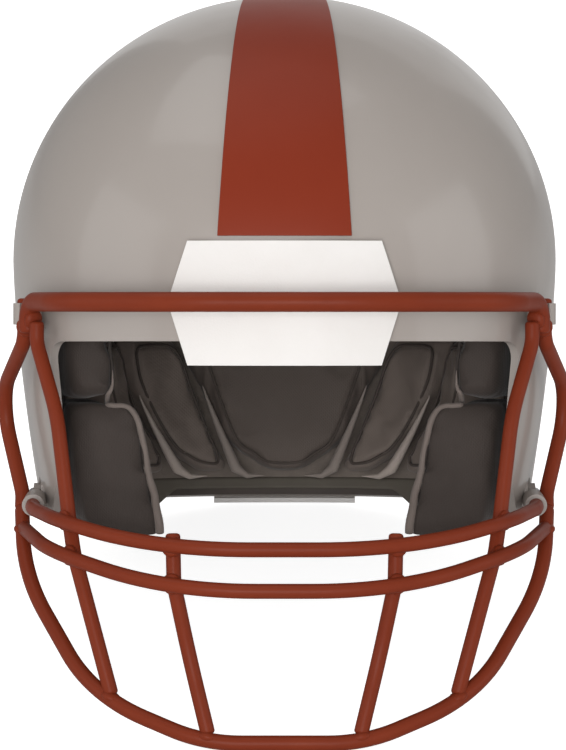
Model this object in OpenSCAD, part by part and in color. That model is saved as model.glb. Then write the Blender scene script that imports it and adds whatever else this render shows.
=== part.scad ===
/* [Shell] */
// Half of the shell's width at its widest level
shell_half_w = 119.5; // [116:0.5:124]
// Reach of the shell forwards from the ear line
shell_front = 143; // [140:1:148]
// Reach of the shell backwards from the ear line
shell_rear = 143; // [138:1:150]
// Height of the crown above the widest level
shell_crown = 117; // [110:1:124]
// Height of the widest level above the brow bar
widest_z = 18; // [14:1:22]
// Thickness of the moulded shell
shell_wall = 3.5; // [2.5:0.1:4]
// Roundness of the plan outline, 2 is an ellipse
plan_power = 2.4; // [2.2:0.1:2.6]
// Height of the brow rim under the brow bar
brow_rim_z = -15; // [-17:0.5:-13]
// Front edge of the jaw flaps
jaw_edge_y = -90; // [-94:1:-88]
// Level of the jaw flaps' lower edge
jaw_low_z = -93; // [-98:1:-92]
// Level of the rim at the nape
nape_z = -94; // [-97:1:-92]
// Radius of an ear hole
ear_hole_r = 13; // [9:0.5:15]
// Centre of the ear holes, along Y and Z
ear_hole_y = 6; // [2:1:10]
ear_hole_z = -28; // [-32:1:-24]
// Radius of a vent hole in the crown
vent_r = 4.5; // [3:0.5:6]

/* [Stripe and bumpers] */
// Width of the crown stripe where it meets the front bumper
stripe_front_w = 54; // [40:1:60]
// Width of the crown stripe at the top of the shell
stripe_top_w = 32; // [24:1:40]
// Width of the crown stripe where it meets the rear bumper
stripe_rear_w = 18; // [14:1:30]
// Thickness of the crown stripe
stripe_t = 0.8; // [0.5:0.1:1.2]
// Half of the front bumper's width at its top and bottom edges
bumper_end_w = 39; // [34:1:42]
// Half of the front bumper's width at the brow bar
bumper_mid_w = 47; // [42:1:50]
// Top edge of the front bumper
bumper_top_z = 24.5; // [20:0.5:27]
// Bottom edge of the front bumper
bumper_low_z = -25.5; // [-28:0.5:-22]
// Thickness of both bumpers
bumper_t = 3.2; // [2.5:0.1:3.6]
// Half of the rear bumper's width
rear_bumper_w = 34; // [28:1:40]
// Height of the rear bumper on the shell
rear_bumper_h = 26; // [20:1:32]
// Depth of the bumpers' lips under the shell's rim
lip_h = 2.6; // [2:0.1:3.5]

/* [Face guard] */
// Radius of the brow bar
brow_r = 4; // [3.5:0.1:4.2]
// Radius of the chin bar and of the two outer side bars
rim_bar_r = 3.15; // [2.8:0.05:3.3]
// Radius of the cross bars and the uprights
bar_r = 3; // [2.6:0.1:3.2]
// How deep two welded bars bite into each other
weld_bite = 0.7; // [0.4:0.1:0.9]
// Reach of the brow bar in front of the ear line
brow_reach = 160; // [159:1:164]
// Reach of the lower cross bar in front of the ear line
guard_reach = 163.5; // [161:0.5:167]
// Depth of the chin bar under the brow bar
guard_drop = 175.5; // [170:0.5:180]
// Reach of the chin bar in front of the ear line
chin_reach = 155.5; // [152:0.5:159]

/* [Clips and fastenings] */
// Pivot of the face guard, along Y and Z
pivot_y = -78; // [-79:0.5:-77]
pivot_z = -5; // [-6:0.5:-4]
// How far an upper clip's flat seat stands out from the shell at its screw
pivot_seat_out = 0.65; // [0.45:0.05:1.2]
// Lower clip screw, along Y and Z
latch_y = -50; // [-52:0.5:-48]
latch_z = -84.5; // [-85.5:0.5:-83.5]
// How far a lower clip's flat seat stands out from the shell at its screw
latch_seat_out = 0.29; // [0.14:0.05:0.7]
// Thickness of a clip's lug
lug_t = 3; // [2.4:0.1:3.2]
// Radius of a clip's lug
lug_r = 6.6; // [6:0.1:7]
// Wall of a clip's sleeve round its bar
sleeve_wall = 1.6; // [1.2:0.1:1.8]
// Radius of the shank of a clip screw
screw_r = 2.5; // [2:0.1:2.8]
// Radius of the head of a clip screw
head_r = 4.6; // [4:0.1:5]
// Height of the head of a clip screw
head_h = 2.2; // [1.5:0.1:2.4]
// Radius of the cap of a chin strap stud
stud_r = 5; // [4:0.1:6]
// Height of the cap of a chin strap stud
stud_h = 3.5; // [2.5:0.1:4]

/* [Pads] */
// Thickness of the lining behind the back pads
lining_t = 3; // [2:0.5:3.5]
// Depth of the back pads
back_pad_t = 21; // [16:1:24]
// Depth of the crown, side and forehead pads
crown_pad_t = 19; // [15:1:22]
// Depth of the temple pads
temple_pad_t = 17; // [15:1:21]
// Depth of the jaw pads at their top and bottom
jaw_pad_top_t = 25; // [22:1:32]
jaw_pad_low_t = 31.5; // [28:0.5:38]
// How far a pad's sides are drawn in between its corners
drawn_in = 0.03; // [0:0.01:0.06]
// Level of the back pads' feet
pad_low_z = -84; // [-86:0.5:-82]

/* [Hidden] */
$fn = 48;

shell_colour = [0.655, 0.624, 0.600];
stripe_colour = [0.522, 0.235, 0.180];
bumper_colour = [0.941, 0.929, 0.914];
bar_colour = [0.518, 0.243, 0.161];
pad_colour = [0.275, 0.243, 0.227];
lining_colour = [0.420, 0.380, 0.361];
steel_colour = [0.62, 0.62, 0.63];

// Gaps between pieces that seat on each other
seat_gap = 0.3;
pin_gap = 0.1;
thread_gap = 0.05;
slot_gap = 0.4;

// The form tapers from the widest level down to the rim
taper_h = 115;
side_taper = 0.112;
front_taper = 0.05;
rear_taper = 0.17;
form_low_z = -112;
form_turns = 72;
form_rings = 10;
form_skirts = 7;

function unit(v) = v / norm(v);
function blend(a, b, t) = a + (b - a) * t;
function sign_pow(v, p) = sign(v) * pow(abs(v), p);

// Size of the level at height z, for the surface that lies e inside the outer face
function level(z, e) = z <= widest_z ? 1 : sqrt(max(0, 1 - pow((z - widest_z) / (shell_crown - e), 2)));
function taper(z, share) = 1 - share * pow(max(0, widest_z - z) / taper_h, 1.5);
function half_w(z, e) = (shell_half_w - e) * level(z, e) * taper(z, side_taper);
function reach(z, e, back) =
    ((back ? shell_rear : shell_front) - e) * level(z, e) * taper(z, back ? rear_taper : front_taper);

// Point of the surface at a bearing, 0 to the right, 90 to the back
function by_bearing(az, z, e) = [
    half_w(z, e) * sign_pow(cos(az), 2 / plan_power),
    reach(z, e, sin(az) > 0) * sign_pow(sin(az), 2 / plan_power),
    z
];
// Point of the surface on the right side, in front or at the back, by the other two coordinates
function share_left(t) = pow(max(0, 1 - pow(abs(t), plan_power)), 1 / plan_power);
function on_side(y, z, e) = [half_w(z, e) * share_left(y / reach(z, e, y > 0)), y, z];
function on_front(x, z, e) = [x, -reach(z, e, false) * share_left(x / half_w(z, e)), z];
function on_back(x, z, e) = [x, reach(z, e, true) * share_left(x / half_w(z, e)), z];
function on_top(x, y, e) = let (
        across = pow(abs(x) / (shell_half_w - e), plan_power),
        along = pow(abs(y) / ((y > 0 ? shell_rear : shell_front) - e), plan_power)
    ) [x, y, widest_z + (shell_crown - e) * sqrt(max(0, 1 - pow(across + along, 2 / plan_power)))];
// Flat seats of the clips, along X
pivot_seat_x = on_side(pivot_y, pivot_z, 0).x + pivot_seat_out;
latch_seat_x = on_side(latch_y, latch_z, 0).x + latch_seat_out;
// Outward direction of the surface at a bearing
function outward(az, z) = let (d = 0.5)
    unit(cross(by_bearing(az + d, z, 0) - by_bearing(az - d, z, 0),
               by_bearing(az, z + d, 0) - by_bearing(az, z - d, 0)));

// The helmet stands on its chin bar and on the rear bumper, tipped back
rear_foot = on_back(0, nape_z - lip_h - seat_gap, -seat_gap - bumper_t);
foot_run = rear_foot.y + chin_reach;
foot_rise = rear_foot.z + guard_drop;
tip = atan2(foot_rise, foot_run) + asin(rim_bar_r / norm([foot_run, foot_rise]));
stand_z = chin_reach * sin(tip) - guard_drop * cos(tip) - rim_bar_r;
rear_most = widest_z * sin(tip)
    + norm([(shell_rear + seat_gap + stripe_t) * cos(tip), (shell_crown + seat_gap + stripe_t) * sin(tip)]);
front_most = -chin_reach * cos(tip) - guard_drop * sin(tip) - rim_bar_r;

module stood() {
    translate([0, -(rear_most + front_most) / 2, -stand_z])
        rotate([-tip, 0, 0])
            children();
}

module both_sides() {
    children();
    mirror([1, 0, 0])
        children();
}

// Turns a piece drawn along +Z so that it starts at a point and runs along a direction
module aim(at, dir) {
    translate(at)
        rotate([0, acos(dir.z / norm(dir)), atan2(dir.y, dir.x)])
            children();
}

// Stands a piece on the shell at a bearing and a level
module on_shell(spot) {
    aim(by_bearing(spot[0], spot[1], 0), outward(spot[0], spot[1]))
        children();
}

// Solid between two faces, each a grid over u and v from 0 to 1
module slab(outer, inner, nu, nv) {
    step = nv + 1;
    half = (nu + 1) * step;
    spots = [for (i = [0 : nu]) for (j = [0 : nv]) [i / nu, j / nv]];
    points = concat([for (s = spots) outer(s.x, s.y)], [for (s = spots) inner(s.x, s.y)]);
    o = outer(0.5, 0.5);
    turned = cross(outer(0.6, 0.5) - o, outer(0.5, 0.6) - o) * (o - inner(0.5, 0.5)) > 0;
    cells = [for (i = [0 : nu - 1]) for (j = [0 : nv - 1]) i * step + j];
    face_out = [for (c = cells) each [[c, c + 1, c + step + 1], [c, c + step + 1, c + step]]];
    face_in = [for (c = cells) each [
        [c + half, c + half + step + 1, c + half + 1], [c + half, c + half + step, c + half + step + 1]]];
    rim = concat(
        [for (j = [0 : nv - 1]) j],
        [for (i = [0 : nu - 1]) i * step + nv],
        [for (j = [nv : -1 : 1]) nu * step + j],
        [for (i = [nu : -1 : 1]) i * step]
    );
    walls = [for (i = [0 : len(rim) - 1]) let (a = rim[i], b = rim[(i + 1) % len(rim)])
        each [[a, b + half, b], [a, a + half, b + half]]];
    faces = concat(face_out, face_in, walls);
    polyhedron(points, turned ? faces : [for (f = faces) [f[2], f[1], f[0]]]);
}

// A cushion over u and v, swollen on both faces, with rounded corners and drawn-in sides
cushion_nu = 10;
cushion_nv = 8;
corner_cut = 0.10;
seam_share = 0.3;
function closing(t) = sin(90 * (2 * t - 1));
function swell(u, v, power) = sqrt((1 - pow(u, power)) * (1 - pow(v, power)));
function drawn(u, v) = u * (1 - drawn_in * (1 - v * v) - corner_cut * pow(v, 8));
function cushion_top(u, v, power) = seam_share + (1 - seam_share) * swell(u, v, power);
module cushion(at, back, depth, power = 6) {
    slab(
        function (s, t) let (u = closing(s), v = closing(t))
            at(drawn(u, v), drawn(v, u), back + depth(v) * cushion_top(u, v, power)),
        function (s, t) let (u = closing(s), v = closing(t))
            at(drawn(u, v), drawn(v, u), back + depth(v) * (seam_share - 0.06) * (1 - swell(u, v, power))),
        cushion_nu, cushion_nv
    );
}

// The closed form of the head shell, e inside its outer face
module head_form(e) {
    levels = concat(
        [for (k = [1 : form_rings]) widest_z + (shell_crown - e) * cos(90 * k / form_rings)],
        [for (k = [1 : form_skirts]) blend(widest_z, form_low_z, k / form_skirts)]
    );
    n = form_turns;
    last = len(levels) - 1;
    rings = [for (z = levels) for (k = [0 : n - 1]) by_bearing(360 * k / n, z, e)];
    top = len(rings);
    points = concat(rings, [[0, 0, widest_z + shell_crown - e], [0, 0, form_low_z]]);
    crown = [for (k = [0 : n - 1]) [top, (k + 1) % n, k]];
    base = [for (k = [0 : n - 1]) [top + 1, last * n + k, last * n + (k + 1) % n]];
    sides = [for (j = [0 : last - 1]) for (k = [0 : n - 1])
        let (a = j * n + k, b = j * n + (k + 1) % n) each [[a, b, b + n], [a, b + n, a + n]]];
    polyhedron(points, concat(crown, base, sides));
}

// Outline of the shell seen from the side, with its corners rounded
function round_corner(a, b, c, r, steps) = let (
        u = unit(a - b),
        v = unit(c - b),
        half = acos(u * v) / 2,
        o = b + unit(u + v) * r / sin(half),
        from = b + u * r / tan(half) - o,
        to = b + v * r / tan(half) - o
    ) [for (k = [0 : steps]) o + unit(blend(from, to, k / steps)) * r];
side_corners = [
    [-190, brow_rim_z, 0], [jaw_edge_y - 1, brow_rim_z - 1.5, 10], [jaw_edge_y, -45, 60], [-80, -78, 18],
    [-64, jaw_low_z, 12], [-30, jaw_low_z, 30], [42, nape_z - 3.5, 30], [88, nape_z, 40], [190, nape_z, 0],
    [190, 190, 0], [-190, 190, 0]
];
side_outline = let (n = len(side_corners)) [for (i = [0 : n - 1])
    let (p = side_corners[i], q = side_corners[(i + n - 1) % n], s = side_corners[(i + 1) % n])
        each p.z == 0 ? [[p.x, p.y]] : round_corner([q.x, q.y], [p.x, p.y], [s.x, s.y], p.z, 5)];

// Bent wires, a straight run and an elbow at a time
// A run laps into the elbow next to it, whose radius is smaller by the neck
lap = 0.3;
neck = 0.02;
function turn_at(p, i) = acos(min(1, unit(p[i] - p[i - 1]) * unit(p[i + 1] - p[i])));
function bend_reach(p, bends, i) = i == 0 || i == len(p) - 1 ? 0 : bends[i - 1] * tan(turn_at(p, i) / 2);
function bend_centre(p, bends, i) = let (u = unit(p[i] - p[i - 1]), v = unit(p[i + 1] - p[i]))
    p[i] - u * bend_reach(p, bends, i) + unit(v - u * (u * v)) * bends[i - 1];
// Points along a bent wire's centre line
function wire_path(p, bends) = concat([p[0]], [for (i = [1 : len(p) - 2])
    let (
        u = unit(p[i] - p[i - 1]),
        v = unit(p[i + 1] - p[i]),
        n = unit(v - u * (u * v)),
        o = bend_centre(p, bends, i),
        step = turn_at(p, i) / 8
    ) for (k = [0 : 8]) o + (u * sin(step * k) - n * cos(step * k)) * bends[i - 1]], [p[len(p) - 1]]);
// Point where a path from left to right passes x
function path_at(path, x) = [
    x,
    lookup(x, [for (q = path) [q.x, q.y]]),
    lookup(x, [for (q = path) [q.x, q.z]])
];

module wire_elbow(p, bends, i, r) {
    u = unit(p[i] - p[i - 1]);
    v = unit(p[i + 1] - p[i]);
    n = unit(v - u * (u * v));
    w = cross(-n, u);
    o = bend_centre(p, bends, i);
    multmatrix([[-n.x, u.x, w.x, o.x], [-n.y, u.y, w.y, o.y], [-n.z, u.z, w.z, o.z], [0, 0, 0, 1]])
        rotate_extrude(angle = turn_at(p, i))
            translate([bends[i - 1], 0])
                circle(r = r - neck);
}

module bent_wire(p, bends, r) {
    last = len(p) - 1;
    for (i = [1 : last]) {
        u = unit(p[i] - p[i - 1]);
        from = p[i - 1] + u * (bend_reach(p, bends, i - 1) - (i > 1 ? lap : 0));
        to = p[i] - u * (bend_reach(p, bends, i) - (i < last ? lap : 0));
        aim(from, u)
            cylinder(r = r, h = norm(to - from));
    }
    for (i = [1 : last - 1])
        wire_elbow(p, bends, i, r);
}

function mirrored(p) = [for (i = [len(p) - 1 : -1 : 0]) [-p[i].x, p[i].y, p[i].z]];
function across(p) = concat(mirrored(p), p);
function palindrome(b, mid) = concat([for (i = [len(b) - 1 : -1 : 0]) b[i]], mid, b);

// Routes of the bars on the right side, from the middle outwards
sleeve_x = pivot_seat_x + seat_gap + lug_t / 2 + 0.3;
sleeve_y = pivot_y - 10.9;
brow_corner = [sleeve_x - 2, sleeve_y - sqrt(pow(brow_r + rim_bar_r - weld_bite, 2) - 4), 0];
brow_points = [[42, -brow_reach, 0], [sleeve_x - 17.5, -131, 0], brow_corner, brow_corner + [0, 0, -13]];
brow_bends = [78, 44, 9];
chin_start = [sleeve_x + 3.3, -64.2, latch_z - 3.4];
chin_side = [sleeve_x, -92, latch_z - 30.1];
chin_points = [
    [32, -chin_reach, -guard_drop], [sleeve_x - 31, -138, -guard_drop + 16.8], chin_side, chin_start
];
chin_bends = [60, 75, 120];
upper_end = [latch_seat_x + seat_gap + lug_t / 2, latch_y - 10, latch_z];
upper_points = [[50, -161, -98], [sleeve_x - 17, -127, -89], upper_end + [0, -24, -2], upper_end];
upper_bends = [100, 60, 40];
// The lower cross bar ends on the rim just below the lower clips
lower_join = blend(chin_start, chin_side, 0.28);
lower_turn = [sleeve_x - 12.7, -126.5, -101];
lower_points = [
    [46, -guard_reach, -114.2], lower_turn, lower_join + unit(lower_turn - lower_join) * (rim_bar_r - weld_bite)
];
lower_bends = [100, 60];
side_points = [
    [sleeve_x, sleeve_y, 1.5], [sleeve_x, sleeve_y, -16], [sleeve_x + 14.5, -42, -41],
    [sleeve_x + 3.5, -58.5, -82], chin_start
];
side_bends = [9.5, 20, 14];

chin_path = wire_path(across(chin_points), palindrome(chin_bends, []));
upper_path = wire_path(across(upper_points), palindrome(upper_bends, []));
lower_path = wire_path(across(lower_points), palindrome(lower_bends, []));

// Uprights are welded behind the cross bars
weld_gap = 2 * bar_r - weld_bite;
inner_back = unit([-0.62, 0.78, 0]);
inner_top = brow_corner + [-0.62, -0.78, 0] * (brow_r + bar_r - weld_bite) + [0, 0, -8];
inner_upper = path_at(upper_path, sleeve_x - 17.2) + inner_back * weld_gap;
inner_lower = path_at(lower_path, sleeve_x - 19.7) + inner_back * weld_gap;
inner_foot = path_at(chin_path, sleeve_x - 39.5);
inner_points = [
    inner_top, inner_top + [0, 0, -9], [sleeve_x - 15, -112, -46], inner_upper, inner_lower,
    inner_foot + unit(inner_lower - inner_foot) * (rim_bar_r - weld_bite)
];
inner_bends = [14, 60, 24, 24];
centre_x = 44.5;
centre_upper = path_at(upper_path, centre_x) + [0, weld_gap, 0];
centre_lower = path_at(lower_path, centre_x - 0.5) + [0, weld_gap, 0];
centre_foot = path_at(chin_path, centre_x - 14.7);
// The centre bars bow inwards between the lower cross bar and the chin bar
centre_bow = 6.5;
centre_knee = blend(centre_lower, centre_foot, 0.48) + [0.8, centre_bow, 0];
centre_points = [
    centre_upper + [0, 0, bar_r + 1.5], centre_lower, centre_knee,
    centre_foot + unit(centre_knee - centre_foot) * (rim_bar_r - weld_bite)
];
centre_bends = [16, 60];

// Clip screws, nuts and the bosses that take them
boss_r = 5;
// Length of a drill through the wall, longer than any boss
drill_h = 20;
boss_in = 5.8;
nut_barrel_r = 3.7;
nut_barrel_h = 3.4;
flange_r = 6.8;
flange_h = 1.2;
// Width of the flat round a clip's lug
seat_rim = 2.2;
flange_seat_h = 3;
pivot_at = [pivot_seat_x, pivot_y, pivot_z];
latch_at = [latch_seat_x, latch_y, latch_z];
clip_seats = [pivot_at, latch_at];
stud_spots = [[16, -15], [11, -50]];
valve_spots = [[66, 84], [114, 84]];
vent_spots = [[52, 98], [128, 98], [62, 56], [118, 56]];
bumper_screw_x = 28;
bumper_screw_r = 2;
bumper_head_r = 3.5;
bumper_head_h = 1.4;
rear_screw_x = 22;
rear_screw_z = nape_z + rear_bumper_h * 0.55;
snap_spots = [[-62, -62], [-38, -66], [-60, -25], [-60, 13]];

module at_seat(seat) {
    translate(seat)
        rotate([0, 90, 0])
            children();
}

module bumper_screw_holes(r) {
    both_sides() {
        translate([bumper_screw_x, 0, 0])
            rotate([90, 0, 0])
                cylinder(r = r, h = 200);
        translate([rear_screw_x, 0, rear_screw_z])
            rotate([-90, 0, 0])
                cylinder(r = r, h = 200);
    }
}

module shell() color(shell_colour) stood() {
    difference() {
        union() {
            difference() {
                intersection() {
                    difference() {
                        head_form(0);
                        head_form(shell_wall);
                    }
                    rotate([90, 0, 90])
                        linear_extrude(height = 400, center = true)
                            polygon(side_outline);
                }
                both_sides()
                    for (seat = clip_seats)
                        at_seat(seat)
                            cylinder(r = lug_r + seat_rim, h = drill_h);
            }
            both_sides()
                for (seat = clip_seats) {
                    at_seat(seat - [boss_in, 0, 0])
                        cylinder(r = boss_r, h = boss_in);
                    at_seat(seat - [boss_in, 0, 0])
                        cylinder(r = flange_r + 2 * seat_gap, h = flange_seat_h);
                }
        }
        both_sides()
            for (seat = clip_seats) {
                at_seat(seat)
                    cylinder(r = screw_r + pin_gap, h = 2 * drill_h, center = true);
                at_seat(seat - [drill_h, 0, 0])
                    cylinder(r = nut_barrel_r + pin_gap, h = drill_h - boss_in + nut_barrel_h + pin_gap);
                at_seat(seat - [drill_h, 0, 0])
                    cylinder(r = flange_r + seat_gap, h = drill_h - boss_in);
            }
        translate([0, ear_hole_y, ear_hole_z])
            rotate([0, 90, 0])
                cylinder(r = ear_hole_r, h = 400, center = true);
        both_sides()
            for (s = stud_spots)
                on_shell(s)
                    cylinder(r = screw_r + pin_gap, h = drill_h, center = true);
        for (s = valve_spots)
            on_shell(s)
                cylinder(r = screw_r + pin_gap, h = drill_h, center = true);
        for (s = vent_spots)
            on_shell(s)
                cylinder(r = vent_r, h = drill_h, center = true);
        bumper_screw_holes(bumper_screw_r + pin_gap);
    }
}

// Meridian of the stripe, from the front bumper over the crown to the rear bumper
stripe_end_gap = 2;
stripe_from = -acos((bumper_top_z + stripe_end_gap - widest_z) / shell_crown);
stripe_to = acos((nape_z + rear_bumper_h + stripe_end_gap - widest_z) / shell_crown);
function stripe_z(angle) = widest_z + shell_crown * cos(angle);
function stripe_point(angle, side, e) = let (
        end_w = angle < 0 ? stripe_front_w : stripe_rear_w,
        x = side * blend(stripe_top_w, end_w, angle / (angle < 0 ? stripe_from : stripe_to)) / 2
    )
    abs(angle) < 50
        ? on_top(x, (angle > 0 ? shell_rear : shell_front) * sin(angle), e)
        : angle < 0 ? on_front(x, stripe_z(angle), e) : on_back(x, stripe_z(angle), e);

module crown_stripe() color(stripe_colour) stood()
    slab(
        function (s, t) stripe_point(blend(stripe_from, stripe_to, s), 2 * t - 1, -seat_gap - stripe_t),
        function (s, t) stripe_point(blend(stripe_from, stripe_to, s), 2 * t - 1, -seat_gap),
        40, 4
    );

// Levels of a bumper's rows, with two close rows where its lip turns in under the rim
edge_h = 1.5;
edge_in = 1;
front_rows = [
    bumper_top_z, bumper_top_z - edge_h, bumper_top_z / 2, 0, brow_rim_z + 6, brow_rim_z - seat_gap - 1.6,
    brow_rim_z - seat_gap - 1.9, bumper_low_z + edge_h, bumper_low_z
];
function front_half(z) = let (share = abs(z) / (z > 0 ? bumper_top_z : -bumper_low_z))
    blend(bumper_mid_w, bumper_end_w, pow(share, 1.3));
function front_outer(s, t) = let (
        i = round(t * 8),
        z = front_rows[i],
        edge = i == 0 || i == 8 || s == 0 || s == 1
    ) on_front(closing(s) * front_half(z), z, -seat_gap - (edge ? bumper_t - edge_in : bumper_t));
function front_inner(s, t) = let (i = round(t * 8), z = front_rows[i])
    on_front(closing(s) * front_half(z), z, i > 5 ? shell_wall : -seat_gap);
module front_bumper() color(bumper_colour) stood()
    difference() {
        slab(function (s, t) front_outer(s, t), function (s, t) front_inner(s, t), 12, 8);
        bumper_screw_holes(bumper_screw_r + pin_gap);
        both_sides()
            translate([bumper_screw_x, front_seat_y, 0])
                rotate([90, 0, 0])
                    cylinder(r = bumper_head_r + seat_gap, h = 10);
    }

rear_rows = [
    nape_z + rear_bumper_h, nape_z + rear_bumper_h - edge_h, nape_z + 14, nape_z + 4, nape_z - seat_gap,
    nape_z - seat_gap - 0.2, nape_z - seat_gap - lip_h
];
function rear_half(z) = rear_bumper_w * (z > nape_z + rear_bumper_h - 1 ? 0.92 : 1);
function rear_outer(s, t) = let (i = round(t * 6), z = rear_rows[i], edge = i == 0 || s == 0 || s == 1)
    on_back(closing(s) * rear_half(z), z, -seat_gap - (edge ? bumper_t - edge_in : bumper_t));
function rear_inner(s, t) = let (i = round(t * 6), z = rear_rows[i])
    on_back(closing(s) * rear_half(z), z, i > 4 ? shell_wall : -seat_gap);
module rear_bumper() color(bumper_colour) stood()
    difference() {
        slab(function (s, t) rear_outer(s, t), function (s, t) rear_inner(s, t), 12, 6);
        bumper_screw_holes(bumper_screw_r + pin_gap);
        both_sides()
            translate([rear_screw_x, rear_seat_y, rear_screw_z])
                rotate([-90, 0, 0])
                    cylinder(r = bumper_head_r + seat_gap, h = 10);
    }

module small_screw(length) {
    cylinder(r = bumper_head_r, h = bumper_head_h);
    translate([0, 0, -length])
        cylinder(r = bumper_screw_r, h = length + 0.2);
}

// Where a bumper screw's head seats and where its shank ends
head_sink = 1.5;
front_seat_y = on_front(bumper_screw_x, 0, -seat_gap - bumper_t).y + head_sink;
front_tip_y = on_front(bumper_screw_x, 0, shell_wall - 0.4).y;
rear_seat_y = on_back(rear_screw_x, rear_screw_z, -seat_gap - bumper_t).y - head_sink;
rear_tip_y = on_back(rear_screw_x, rear_screw_z, shell_wall - 0.4).y;

module front_bumper_screws() color(steel_colour) stood()
    both_sides()
        translate([bumper_screw_x, front_seat_y - thread_gap, 0])
            rotate([90, 0, 0])
                small_screw(front_tip_y - front_seat_y);

module rear_bumper_screws() color(steel_colour) stood()
    both_sides()
        translate([rear_screw_x, rear_seat_y + thread_gap, rear_screw_z])
            rotate([-90, 0, 0])
                small_screw(rear_seat_y - rear_tip_y);

// The lining runs round the back under the back pads
lining_back = shell_wall + seat_gap;
lining_turns = [24, 156];
lining_low_z = pad_low_z - 6;
pad_back = lining_back + lining_t + seat_gap;
function lining_point(s, t, e) =
    by_bearing(blend(lining_turns[0], lining_turns[1], s), blend(lining_low_z, pad_top_z, t), e);
module back_lining() color(lining_colour) stood()
    slab(
        function (s, t) lining_point(s, t, lining_back),
        function (s, t) lining_point(s, t, lining_back + lining_t),
        24, 6
    );

// Bearings of the seams between the back pads, by level
pad_top_z = -14;
seam_z = -45;
function seam(low, mid, high, z) = lookup(z, [[pad_low_z, low], [seam_z, mid], [pad_top_z, high]]);
module back_pad(from, to)
    cushion(
        function (u, v, e) let (z = blend(pad_low_z, pad_top_z, (v + 1) / 2))
            by_bearing(blend(from(z), to(z), (u + 1) / 2), z, e),
        pad_back, function (v) back_pad_t
    );
module back_pad_centre() color(pad_colour) stood()
    back_pad(function (z) seam(80.6, 69.6, 62, z), function (z) 180 - seam(80.6, 69.6, 62, z));
module back_pad_mid()
    back_pad(function (z) seam(63.3, 43.9, 39, z), function (z) seam(78.7, 69, 61.2, z));
module back_pad_mid_right() color(pad_colour) stood()
    back_pad_mid();
module back_pad_mid_left() color(pad_colour) stood()
    mirror([1, 0, 0])
        back_pad_mid();
module back_pad_outer()
    back_pad(function (z) seam(37, 29, 26, z), function (z) seam(59.5, 42.6, 38, z));
module back_pad_outer_right() color(pad_colour) stood()
    back_pad_outer();
module back_pad_outer_left() color(pad_colour) stood()
    mirror([1, 0, 0])
        back_pad_outer();

// Pads that lie straight on the shell, each between two bearings, widths or lengths and two levels
crown_back = shell_wall + 3 * seat_gap;
crown_pad_half = [52, 68];
upper_pad_turns = [42, 138];
upper_pad_z = [pad_top_z + 3, 62];
side_pad_turns = [-5, 37];
side_pad_z = [-10, 62];
forehead_half = 56;
forehead_z = [brow_rim_z + 3, 52];
temple_run = [-86, -26];
temple_z = [-41, 26];
jaw_run = [-80, -26];
jaw_z = [-99, -42.3];
// The temple and jaw pads are fuller than the others towards their edges
full_power = 10;
function within(ends, u) = blend(ends[0], ends[1], (u + 1) / 2);
module patch(turns, levels)
    cushion(
        function (u, v, e) by_bearing(within(turns, u), within(levels, v), e),
        crown_back, function (v) crown_pad_t
    );
module upper_back_pad() color(pad_colour) stood()
    patch(upper_pad_turns, upper_pad_z);
module crown_pad() color(pad_colour) stood()
    cushion(
        function (u, v, e) on_top(crown_pad_half.x * u, crown_pad_half.y * v, e),
        crown_back, function (v) crown_pad_t
    );
module side_pad()
    patch(side_pad_turns, side_pad_z);
module side_pad_right() color(pad_colour) stood()
    side_pad();
module side_pad_left() color(pad_colour) stood()
    mirror([1, 0, 0])
        side_pad();
module forehead_pad() color(pad_colour) stood()
    cushion(
        function (u, v, e) on_front(forehead_half * u, within(forehead_z, v), e),
        crown_back, function (v) crown_pad_t
    );

temple_back = boss_in + 3.9;
snap_r = 5.5;
module temple_pad()
    cushion(
        function (u, v, e) on_side(within(temple_run, u), within(temple_z, v), e),
        temple_back, function (v) temple_pad_t, full_power
    );
module temple_pad_right() color(pad_colour) stood()
    temple_pad();
module temple_pad_left() color(pad_colour) stood()
    mirror([1, 0, 0])
        temple_pad();
module jaw_pad()
    cushion(
        function (u, v, e) on_side(within(jaw_run, u), within(jaw_z, v), e),
        temple_back, function (v) blend(jaw_pad_low_t, jaw_pad_top_t, (v + 1) / 2), full_power
    );
module jaw_pad_right() color(pad_colour) stood()
    jaw_pad();
module jaw_pad_left() color(pad_colour) stood()
    mirror([1, 0, 0])
        jaw_pad();

function side_normal(y, z) = let (d = 0.5)
    unit(cross(on_side(y, z, 0) - on_side(y - d, z, 0), on_side(y, z + d, 0) - on_side(y, z, 0)));
module side_pad_snaps() color(steel_colour) stood()
    both_sides()
        for (s = snap_spots)
            aim(on_side(s[0], s[1], 0), -side_normal(s[0], s[1]))
                translate([0, 0, shell_wall + 0.6])
                    cylinder(r = snap_r, h = temple_back - shell_wall - 1.3);

stud_flange_h = 1.2;
stud_nut_h = 1.6;
module chin_strap_studs() color(steel_colour) stood()
    both_sides()
        for (s = stud_spots)
            on_shell(s) {
                translate([0, 0, seat_gap])
                    cylinder(r = stud_r + 2.4, h = stud_flange_h);
                translate([0, 0, seat_gap + stud_flange_h])
                    cylinder(r = stud_r, h = stud_h);
                translate([0, 0, -shell_wall - stud_nut_h - 0.8])
                    cylinder(r = screw_r, h = shell_wall + stud_nut_h + 1.4);
            }
module stud_nuts() color(steel_colour) stood()
    both_sides()
        for (s = stud_spots)
            on_shell(s)
                translate([0, 0, -shell_wall - 2 * seat_gap - stud_nut_h])
                    difference() {
                        cylinder(r = stud_r + 0.6, h = stud_nut_h);
                        cylinder(r = screw_r + thread_gap, h = 4 * stud_nut_h, center = true);
                    }

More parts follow.
